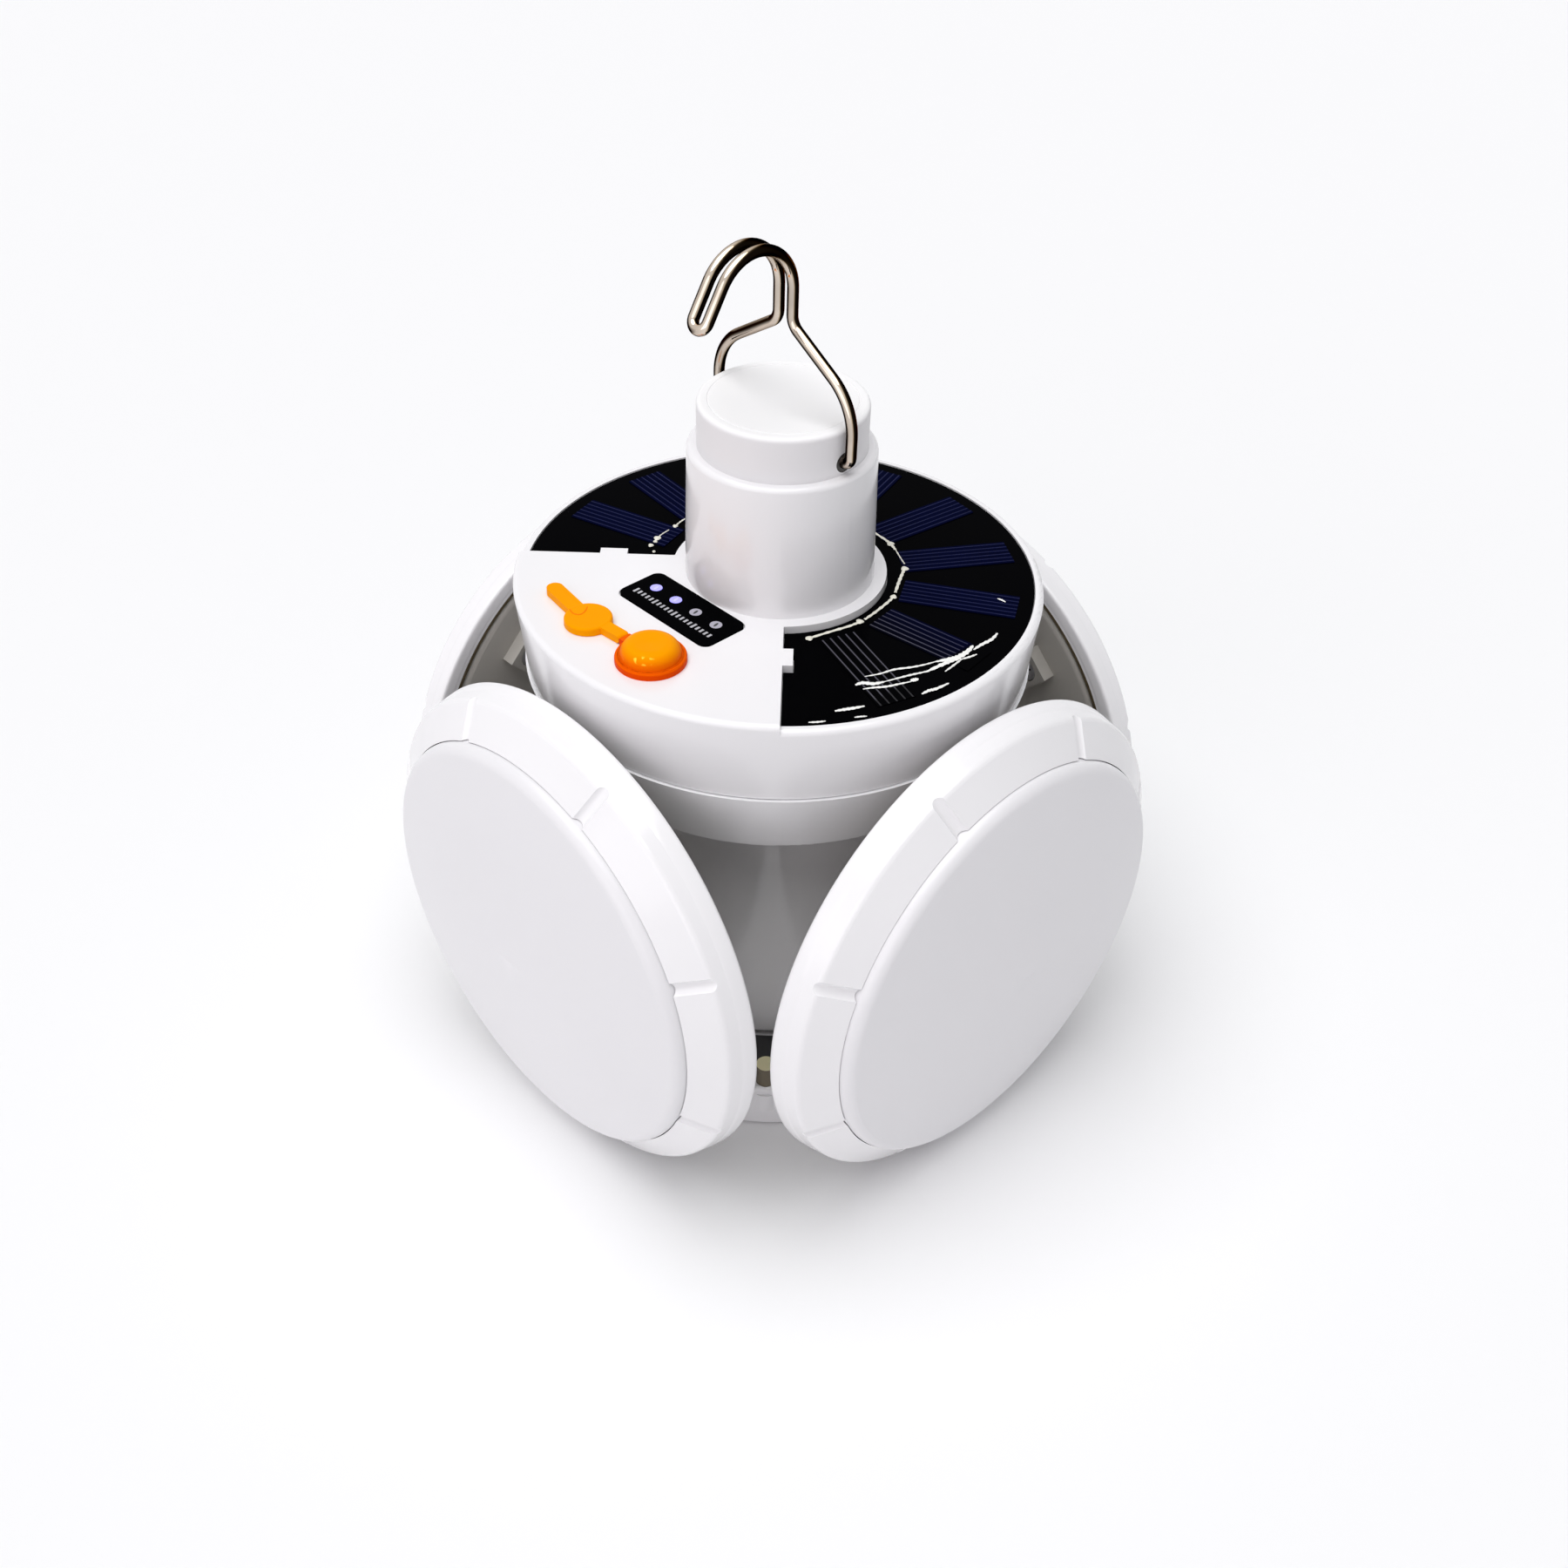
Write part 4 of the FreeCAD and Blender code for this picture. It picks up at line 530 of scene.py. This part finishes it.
def add_ridge(points, faces, corners, width, rise, taper, floor_height=RIDGE_FLOOR):
    """One low ridge along a smooth path; a small taper keeps its ends blunt."""
    path = smooth_path(corners)
    for k, spot in enumerate(path):
        ahead = (path[min(k + 1, len(path) - 1)] - path[max(k - 1, 0)]).normalized()
        side = Vector((-ahead.y, ahead.x, 0))
        swell = math.sin(math.pi * (k + 0.4) / len(path)) ** taper * (0.8 + 0.2 * math.sin(2.3 * k))
        for share, lift in RIDGE_SECTION:
            points.append(spot + side * (share * width * swell)
                          + Vector((0, 0, floor_height + rise * lift * swell)))
        if k:
            count = len(RIDGE_SECTION)
            row = len(points) - 2 * count
            faces += [(row + j, row + j + count, row + j + count + 1, row + j + 1) for j in range(count - 1)]


def add_blob(points, faces, middle, radius, rise, sides=14):
    """A low, slightly wavy blob of solder, as three rings and a top."""
    first = len(points)
    for share, lift in BLOB_RINGS:
        for k in range(sides):
            wave = 1 + 0.14 * math.sin(3 * math.tau * k / sides + 40 * radius)
            rim = polar(radius * share * wave, 360 * k / sides)
            points.append(Vector((*middle, RIDGE_FLOOR + rise * lift)) + rim)
    points.append(Vector((*middle, RIDGE_FLOOR + rise)))
    top = first + (len(BLOB_RINGS) - 1) * sides
    for low in range(first, top, sides):
        faces += wall(low, low + sides, sides)
    faces += [(top + k, top + (k + 1) % sides, len(points) - 1) for k in range(sides)]


# %% [markdown]
# Each stretch of the ribbon is a few points and a width, and each blob a point and a radius, in millimetres
# on the panel. They were placed one by one: thin where the ribbon is dull or partly hidden, wide where it shines.
# The ribbon takes the place of the plain one that CAD made.

# %% Solder the ribbon
RIBBON_RISE, BLOB_RISE, BLUNT_ENDS = 0.14, 0.22, 0.12
RIBBON = (
    (((16.1, -10.0), (17.0, -6.3), (18.0, -2.5), (18.25, -0.5)), 0.66),
    (((18.3, 0.3), (18.0, 2.8), (17.4, 6.2), (16.9, 8.2)), 0.62),
    (((16.3, 9.2), (14.8, 11.5), (13.4, 13.8), (12.5, 15.4)), 0.62),
    (((11.6, 16.4), (9.8, 17.3), (7.6, 18.5)), 0.30),
    (((7.6, 18.5), (5.8, 19.2), (3.6, 19.6), (-1.6, 20.0)), 0.62),
    (((-2.6, 20.0), (-7.0, 18.9), (-10.4, 17.2)), 0.62),
    (((-11.2, 16.7), (-14.6, 14.0), (-17.2, 10.8)), 0.62),
    (((-17.8, 10.0), (-20.2, 5.4), (-21.6, 0.9)), 0.62),
    (((-22.1, -0.4), (-21.9, -1.6), (-21.4, -3.1)), 0.36),
    (((-21.2, -4.6), (-21.0, -6.0), (-20.6, -7.6)), 0.26),
)
BLOBS = (
    (16.3, -9.4, 0.55), (18.2, -0.6, 0.60), (16.9, 8.2, 0.52), (12.5, 15.4, 0.62), (5.8, 19.2, 0.60),
    (-2.2, 20.0, 0.55), (-10.8, 17.0, 0.60), (-17.5, 10.4, 0.55), (-21.4, -3.1, 0.42), (-20.5, -7.7, 0.58),
    (-19.9, -8.6, 0.36), (-19.5, -9.9, 0.44), (-17.7, -10.8, 0.26),
)
ribbon_points, ribbon_faces = [], []
for corners, width in RIBBON:
    add_ridge(ribbon_points, ribbon_faces, corners, width, RIBBON_RISE, BLUNT_ENDS)
for x, y, radius in BLOBS:
    add_blob(ribbon_points, ribbon_faces, (x, y), radius, BLOB_RISE)
ribbon = new_piece("solder_ribbon", ribbon_points, ribbon_faces, FINISHES["tinned_ribbon"], "lamp_body",
                   True)
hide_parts("solar_ribbons")
print("ribbon pieces", len(RIBBON), "blobs", len(BLOBS))

# %% [markdown]
# The wrinkles are made in the same way, taller and with ends that run out to a point. Their near-white colour
# is a painted highlight, the glints that the clear layer's folds catch. Where two of them cross they simply
# pass through each other, as folds in a film do.

# %% Raise the wrinkles
WRINKLE_RISE, POINTED_ENDS = 0.16, 0.5
WRINKLES = (
    (((28.6, -10.3), (29.6, -8.2), (30.3, -5.8), (31.6, -3.5), (32.5, -1.4), (33.2, 0.9)), 0.50),
    (((33.0, 0.2), (33.9, 2.2), (34.4, 3.5), (34.4, 5.5), (33.9, 7.4)), 1.15),
    (((34.7, 6.6), (34.6, 8.5), (34.7, 10.7), (34.2, 12.6)), 0.75),
    (((29.2, -12.8), (29.5, -11.6), (30.7, -10.6), (31.4, -9.1)), 0.95),
    (((31.3, -9.4), (32.1, -7.1), (32.8, -5.1), (33.5, -3.4), (34.0, -2.0)), 0.48),
    (((33.8, -2.9), (34.1, 0.1), (34.4, 2.2), (34.9, 3.6)), 0.95),
    (((30.6, -12.7), (31.3, -11.4), (32.4, -9.8), (33.2, -8.0), (34.0, -6.1)), 0.55),
    (((33.8, -6.1), (34.0, -5.5), (34.2, -4.9)), 0.95),
    (((35.6, -0.7), (35.4, 1.3), (35.1, 3.7)), 0.45),
    (((35.1, 3.4), (35.5, 4.6), (35.8, 6.1)), 0.50),
    (((37.1, -7.3), (37.2, -5.9), (37.6, -4.8), (37.9, -2.4)), 0.75),
    (((31.6, -19.4), (32.2, -18.2), (32.9, -16.9), (33.6, -15.4)), 0.80),
    (((34.5, -18.4), (35.0, -17.6), (35.5, -16.9)), 0.40),
    (((31.0, -24.0), (31.8, -23.0), (32.4, -22.0)), 0.45),
    (((28.0, 19.8), (28.7, 20.0), (29.5, 20.0)), 0.40),
)
ridge_points, ridge_faces = [], []
for corners, width in WRINKLES:
    add_ridge(ridge_points, ridge_faces, corners, width, WRINKLE_RISE, POINTED_ENDS)
# Painted highlight: the clear wrinkles are coloured near-white for the glints they catch.
wrinkle_glint_finish = new_finish("resin_painted_glint", (0.88, 0.88, 0.85), 0.2, drift=0.1, drift_scale=900, grain=1500,
                            bump=0.00004)
new_piece("resin_wrinkles", ridge_points, ridge_faces, wrinkle_glint_finish, "lamp_body", True)
print("wrinkles", len(WRINKLES))

# %% [markdown]
# The port plug's pull tab is moulded over its disc. The tab's edge casts a thin shadow on the disc, painted
# as a low dark-orange ridge round the tab's root. It rides on the plug, so it lifts with it.

# %% Paint the pull tab's shadow
TAB_SHADOW_WIDTH, TAB_SHADOW_RISE, TAB_SHADOW_TAPER = 0.42, 0.08, 0.4
TAB_SHADOW_PATH = ((-10.9, -33.0), (-9.7, -33.35), (-8.75, -32.95), (-8.75, -31.9), (-9.6, -30.6))
# Painted shadow: a darker orange for the shade under the tab's edge.
tab_shadow_finish = new_finish("orange_painted_shadow", (0.90, 0.20, 0.0005), 0.5, drift=0.06, drift_scale=200, grain=2500,
                           Specular_IOR_Level=0.03)
tab_shadow_points, tab_shadow_faces = [], []
add_ridge(tab_shadow_points, tab_shadow_faces, TAB_SHADOW_PATH, TAB_SHADOW_WIDTH, TAB_SHADOW_RISE, TAB_SHADOW_TAPER,
          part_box("port_plug")[1].z / MM)
new_piece("tab_painted_shadow", tab_shadow_points, tab_shadow_faces, tab_shadow_finish, "plug", True)
print("painted_tab_shadow laid on the plug")

# %% [markdown]
# ## Light chips in the windows
#
# Behind each round window sits a small light chip, seen as a slanted streak: pale where it is lit and dark
# where it isn't. A chip behind clear glass would be the true way, but the windows are milky, so each streak
# is a thin oval pad on its window.

# %% Set the chips
LENS_LOW, LENS_HIGH = (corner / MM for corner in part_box("indicator_lenses"))
LENS_RADIUS = (LENS_HIGH.y - LENS_LOW.y) / 2
LENS_STEP = (LENS_HIGH.x - LENS_LOW.x - 2 * LENS_RADIUS) / 3
LENS_ROW = (LENS_LOW.y + LENS_HIGH.y) / 2
CHIP_SIDES, CHIP_WIDE, CHIP_LONG, CHIP_RISE = 20, 0.21, 0.56, 0.02
CHIP_TURN = Matrix.Rotation(math.radians(12), 3, "Z")
CHIPS = (("chips_lit", (0.62, 0.60, 0.95), (0, 1)), ("chips_dark", (0.03, 0.03, 0.032), (2, 3)))
for name, colour, windows in CHIPS:
    chip_points, chip_faces = [], []
    for window in windows:
        middle = Vector((LENS_LOW.x + LENS_RADIUS + LENS_STEP * window, LENS_ROW, LENS_HIGH.z))
        first = len(chip_points)
        for lift, shrink in ((0.0, 1.0), (CHIP_RISE, 0.8)):
            for k in range(CHIP_SIDES):
                spot = polar(1, 360 * k / CHIP_SIDES)
                oval = CHIP_TURN @ Vector((CHIP_WIDE * spot.x, CHIP_LONG * spot.y, 0))
                chip_points.append(middle + oval * shrink + Vector((0, 0, lift)))
        chip_faces.append(tuple(range(first + CHIP_SIDES, first + 2 * CHIP_SIDES)))
        chip_faces += wall(first, first + CHIP_SIDES, CHIP_SIDES)
    chip_finish = new_finish(name, colour, 0.3, drift=0.1, drift_scale=900)
    new_piece(name, chip_points, chip_faces, chip_finish, "lamp_body")
print("chips set at steps of", round(LENS_STEP, 2), "mm")

# %% [markdown]
# ## A plain scale on the indicator plate
#
# Under its four lights the plate carries a row of short pale ticks, like the scale of any gauge. A texture
# could print them; here each tick is a thin raised pad of paint, which stays crisp however near one looks.

# %% Print the scale
PLATE_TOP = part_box("indicator_plate")[1].z / MM
TICK_ROW, TICK_COUNT, TICK_PITCH, TICK_FIRST = -21.15, 20, 0.88, -9.6
TICK_WIDE, TICK_SHORT, TICK_LONG, TICK_RISE = 0.21, 0.45, 0.62, 0.015
tick_points, tick_faces = [], []
for count in range(TICK_COUNT):
    middle = TICK_FIRST + TICK_PITCH * count
    tall = TICK_SHORT if count % 5 else TICK_LONG
    first = len(tick_points)
    for lift, shrink in ((0.0, 1.0), (TICK_RISE, 0.85)):
        for x, y in ((-TICK_WIDE, -tall), (TICK_WIDE, -tall), (TICK_WIDE, tall), (-TICK_WIDE, tall)):
            tick_points.append((middle + x * shrink, TICK_ROW + y * shrink, PLATE_TOP + lift))
    tick_faces.append(tuple(range(first + 4, first + 8)))
    tick_faces += wall(first, first + 4, 4)
paint = new_finish("pale_paint", (0.42, 0.42, 0.45), 0.5, drift=0.25, drift_scale=700)
new_piece("plate_scale", tick_points, tick_faces, paint, "lamp_body")
print("ticks", TICK_COUNT)

# %% [markdown]
# ## Crosses in the screw heads
#
# The petals' back covers and the lower casing are held by cross-head screws. Each head gets painted shade in
# the shape of its cross recess: a dark plus with tapered arms, drawn in the plane of the head and set just on
# its face. Real recesses would have to be cut in CAD, and at this size their depth wouldn't show.

# %% Paint the crosses
CROSS = [(0.25, 0.25), (1.35, 0.18), (1.35, -0.18), (0.25, -0.25), (0.18, -1.35), (-0.18, -1.35),
         (-0.25, -0.25), (-1.35, -0.18), (-1.35, 0.18), (-0.25, 0.25), (-0.18, 1.35), (0.18, 1.35)]
CROSS_QUADS = ((0, 3, 6, 9), (0, 1, 2, 3), (3, 4, 5, 6), (6, 7, 8, 9), (9, 10, 11, 0))
PETALS = {"right": 0, "back": 90, "left": 180, "front": 270}
PETAL_HEIGHT, POST = 42.2, 20.2
POSTS = ((1, 1), (-1, 1), (-1, -1), (1, -1))
CASING_SCREW_CIRCLE, CASING_SCREW_ANGLES = 30.0, (45, 135, 225, 315)
CROSS_GAP, PETAL_CROSS_SHARE = 0.02, 0.85
EAST, NORTH, UP = Vector((1, 0, 0)), Vector((0, 1, 0)), Vector((0, 0, 1))
# Painted shade: the dark colour stands for the shade inside each cross recess.
cross_shade_finish = new_finish("screw_cross_painted_shade", (0.03, 0.03, 0.03), 0.6)


def add_cross(points, faces, middle, across, up, turn, share=1.0):
    """One cross at a point, in the plane of two directions, turned by an angle in degrees."""
    c, s = share * math.cos(math.radians(turn)), share * math.sin(math.radians(turn))
    first = len(points)
    points += [middle + across * (c * x - s * y) + up * (s * x + c * y) for x, y in CROSS]
    faces += [tuple(first + k for k in quad) for quad in CROSS_QUADS]


# Every screw stops at an angle of its own.
for name, degrees in PETALS.items():
    out = polar(1, degrees)
    across = UP.cross(out)
    cross_points, cross_faces = [], []
    heads = [corner.dot(out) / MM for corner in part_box(f"petal_{name}_screws")]
    for k, (a, b) in enumerate(POSTS):
        spot = out * (min(heads) - CROSS_GAP) + across * (a * POST) + UP * (PETAL_HEIGHT + b * POST)
        add_cross(cross_points, cross_faces, spot, across, UP, 20 + 37 * k, PETAL_CROSS_SHARE)
    new_piece(f"petal_{name}_crosses", cross_points, cross_faces, cross_shade_finish, f"petal_{name}")
cross_points, cross_faces = [], []
for k, degrees in enumerate(CASING_SCREW_ANGLES):
    spot = polar(CASING_SCREW_CIRCLE, degrees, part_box("casing_screws")[0].z / MM - CROSS_GAP)
    add_cross(cross_points, cross_faces, spot, EAST, NORTH, 15 + 50 * k)
new_piece("casing_crosses", cross_points, cross_faces, cross_shade_finish, "lamp_body")
print("crosses cut in", 5 * len(POSTS), "heads")

# %% [markdown]
# ## Painted shadows at the seams
#
# A thin brown bead is painted shadow in the gap between each petal's back cover and its bezel, and a dark
# ring is painted shade on the base round the stem's foot. A bead is a small profile carried round a circle. A
# Screw modifier does the same, but one short helper makes it about any axis, with nothing to apply afterwards.

# %% Lay the painted shadows
SEAM_PLANE, SEAM_SHADOW_DEPTH, SEAM_SHADOW_RADIUS = 51.4, 8.0, 38.35
SEAM_SHADOW_PROFILE = [(-0.56, 0.0), (-0.35, 0.28), (0.0, 0.38), (0.35, 0.28), (0.56, 0.0), (0.0, -0.5)]
BASE_SHADE_HEIGHT, BASE_SHADE_RADIUS = 9.12, 27.6
BASE_SHADE_PROFILE = [(-3.7, 0.0), (3.7, 0.0), (3.6, 0.25), (-3.6, 0.25)]


def add_bead(points, faces, middle, along, across, up, radius, profile, sides=96):
    """A ring round an axis; its profile is given as (radius, height) pairs beside the ring's own radius."""
    count = len(profile)
    for k in range(sides):
        angle = math.tau * k / sides
        rim = across * math.cos(angle) + up * math.sin(angle)
        points += [middle + rim * (radius + r) + along * h for r, h in profile]
        here, there = count * k, count * ((k + 1) % sides)
        faces += [(here + j, there + j, there + (j + 1) % count, here + (j + 1) % count)
                  for j in range(count)]


# Painted shadow: the brown bead stands for the shade in the gap between cover and bezel.
seam_shadow_finish = new_finish("seam_painted_shadow", (0.10, 0.072, 0.03), 0.45, drift=0.4, drift_scale=300, grain=900,
                  bump=0.00003)
for name, degrees in PETALS.items():
    out = polar(1, degrees)
    bead_points, bead_faces = [], []
    middle = out * (SEAM_PLANE - SEAM_SHADOW_DEPTH) + UP * PETAL_HEIGHT
    add_bead(bead_points, bead_faces, middle, -out, UP.cross(out), UP, SEAM_SHADOW_RADIUS, SEAM_SHADOW_PROFILE)
    new_piece(f"petal_{name}_painted_seam_shadow", bead_points, bead_faces, seam_shadow_finish, f"petal_{name}", True)
# Painted shade: the dark ring lies on the base where the stem's foot shades it.
base_shade_finish = new_finish("base_painted_shade", (0.035, 0.034, 0.036), 0.6, drift=0.2, drift_scale=300, grain=1500,
                    bump=0.00002)
base_shade_points, base_shade_faces = [], []
add_bead(base_shade_points, base_shade_faces, UP * BASE_SHADE_HEIGHT, UP, EAST, NORTH, BASE_SHADE_RADIUS, BASE_SHADE_PROFILE)
new_piece("stem_foot_painted_shade", base_shade_points, base_shade_faces, base_shade_finish, "lamp_body")
print("painted_shadows laid on four petals and the base")

# %% [markdown]
# ## The button's skirt
#
# A real rubber button is moulded in one with a thin skirt, which closes the gap between its dome and the
# flange and bends when the dome is pressed. Here the skirt is a narrow ring just under the flange's edge. It
# stays with the flange, and the dome slides through it.

# %% Close the gap round the button
button_low, button_high = (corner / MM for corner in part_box("push_button"))
FLANGE_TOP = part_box("button_flange")[1].z / MM
BUTTON_RADIUS = (button_high.x - button_low.x) / 2
SKIRT_DEPTH = 0.22
SKIRT_PROFILE = [(0.03, 0.0), (0.6, 0.0), (0.6, 0.12), (0.03, 0.12)]
middle = (button_low + button_high) / 2
middle.z = FLANGE_TOP - SKIRT_DEPTH
skirt_points, skirt_faces = [], []
add_bead(skirt_points, skirt_faces, middle, UP, EAST, NORTH, BUTTON_RADIUS, SKIRT_PROFILE)
new_piece("button_skirt", skirt_points, skirt_faces, flange_finish, "lamp_body")
print("skirt round a dome of radius", round(BUTTON_RADIUS, 2), "mm")

# %% [markdown]
# ## Crisp rims
#
# CAD rounds the rear edge of each bezel broadly. The photograph shows it crisper, most of all where two
# petals nearly touch, so a thin moulded rim fills that edge: its profile comes out along the rear face, turns
# a tight corner and runs up the bezel's side, where it dips under the surface so that no seam shows.

# %% Mould the rims
RIM_PROFILE = [
    (40.9, 6.0), (39.2, 8.5), (39.5, 8.61), (39.9, 8.63), (40.95, 8.63),
    (41.24, 8.61), (41.48, 8.54), (41.65, 8.37), (41.72, 8.15), (41.71, 7.9),
    (41.66, 7.55), (41.50, 6.6), (41.40, 6.1), (41.17, 5.45),
]
RIM_SIDES, SHARP_EDGE = 160, math.radians(40)
for name, degrees in PETALS.items():
    out = polar(1, degrees)
    rim_points, rim_faces = [], []
    middle = out * SEAM_PLANE + UP * PETAL_HEIGHT
    add_bead(rim_points, rim_faces, middle, -out, UP.cross(out), UP, 0.0, RIM_PROFILE, RIM_SIDES)
    rim = new_piece(f"petal_{name}_rim", rim_points, rim_faces, FINISHES["white_shell"], f"petal_{name}",
                    True)
    rim.data.set_sharp_from_angle(angle=SHARP_EDGE)
print("rims moulded on four petals")

# %% [markdown]
# ## Painted shade in the hook's holes
#
# The hook's feet turn in two holes in the cap, a little wider than the wire. Each hole gets painted shade for
# the gap round the wire: a dark thin ring that follows the round of the cap, so it lies on the surface all the
# way. The hook's joint gives its height.

# %% Paint the shade in the holes
CAP_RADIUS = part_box("neck_cap")[1].x / MM
hook_joint = next(joint for joint in frame["joints"] if joint["name"] == "hook_swing")
PIVOT_HEIGHT = hook_joint["pos_m"][2] / MM
HOLE_SHADE_RINGS, HOLE_SHADE_SIDES = ((0.95, 0.01), (1.25, 0.05), (1.55, 0.01)), 40
hole_shade_points, hole_shade_faces = [], []
for hand in (1, -1):
    first = len(hole_shade_points)
    for radius, lift in HOLE_SHADE_RINGS:
        for k in range(HOLE_SHADE_SIDES):
            spot = polar(radius, 360 * k / HOLE_SHADE_SIDES)
            reach = math.sqrt(CAP_RADIUS ** 2 - spot.x ** 2) + lift
            hole_shade_points.append((hand * reach, spot.x, PIVOT_HEIGHT + spot.y))
    for ring in range(len(HOLE_SHADE_RINGS) - 1):
        inner = first + ring * HOLE_SHADE_SIDES
        hole_shade_faces += [quad[::-hand] for quad in wall(inner, inner + HOLE_SHADE_SIDES, HOLE_SHADE_SIDES)]
# Painted shade: the dark ring stands for the shadow in the gap between wire and hole.
hole_shade_finish = new_finish("hole_painted_shade", (0.02, 0.017, 0.015), 0.4, drift=0.3, drift_scale=600)
new_piece("hook_hole_shade", hole_shade_points, hole_shade_faces, hole_shade_finish, "lamp_body", True)
print("painted_hole_shade at", round(CAP_RADIUS, 2), "mm")
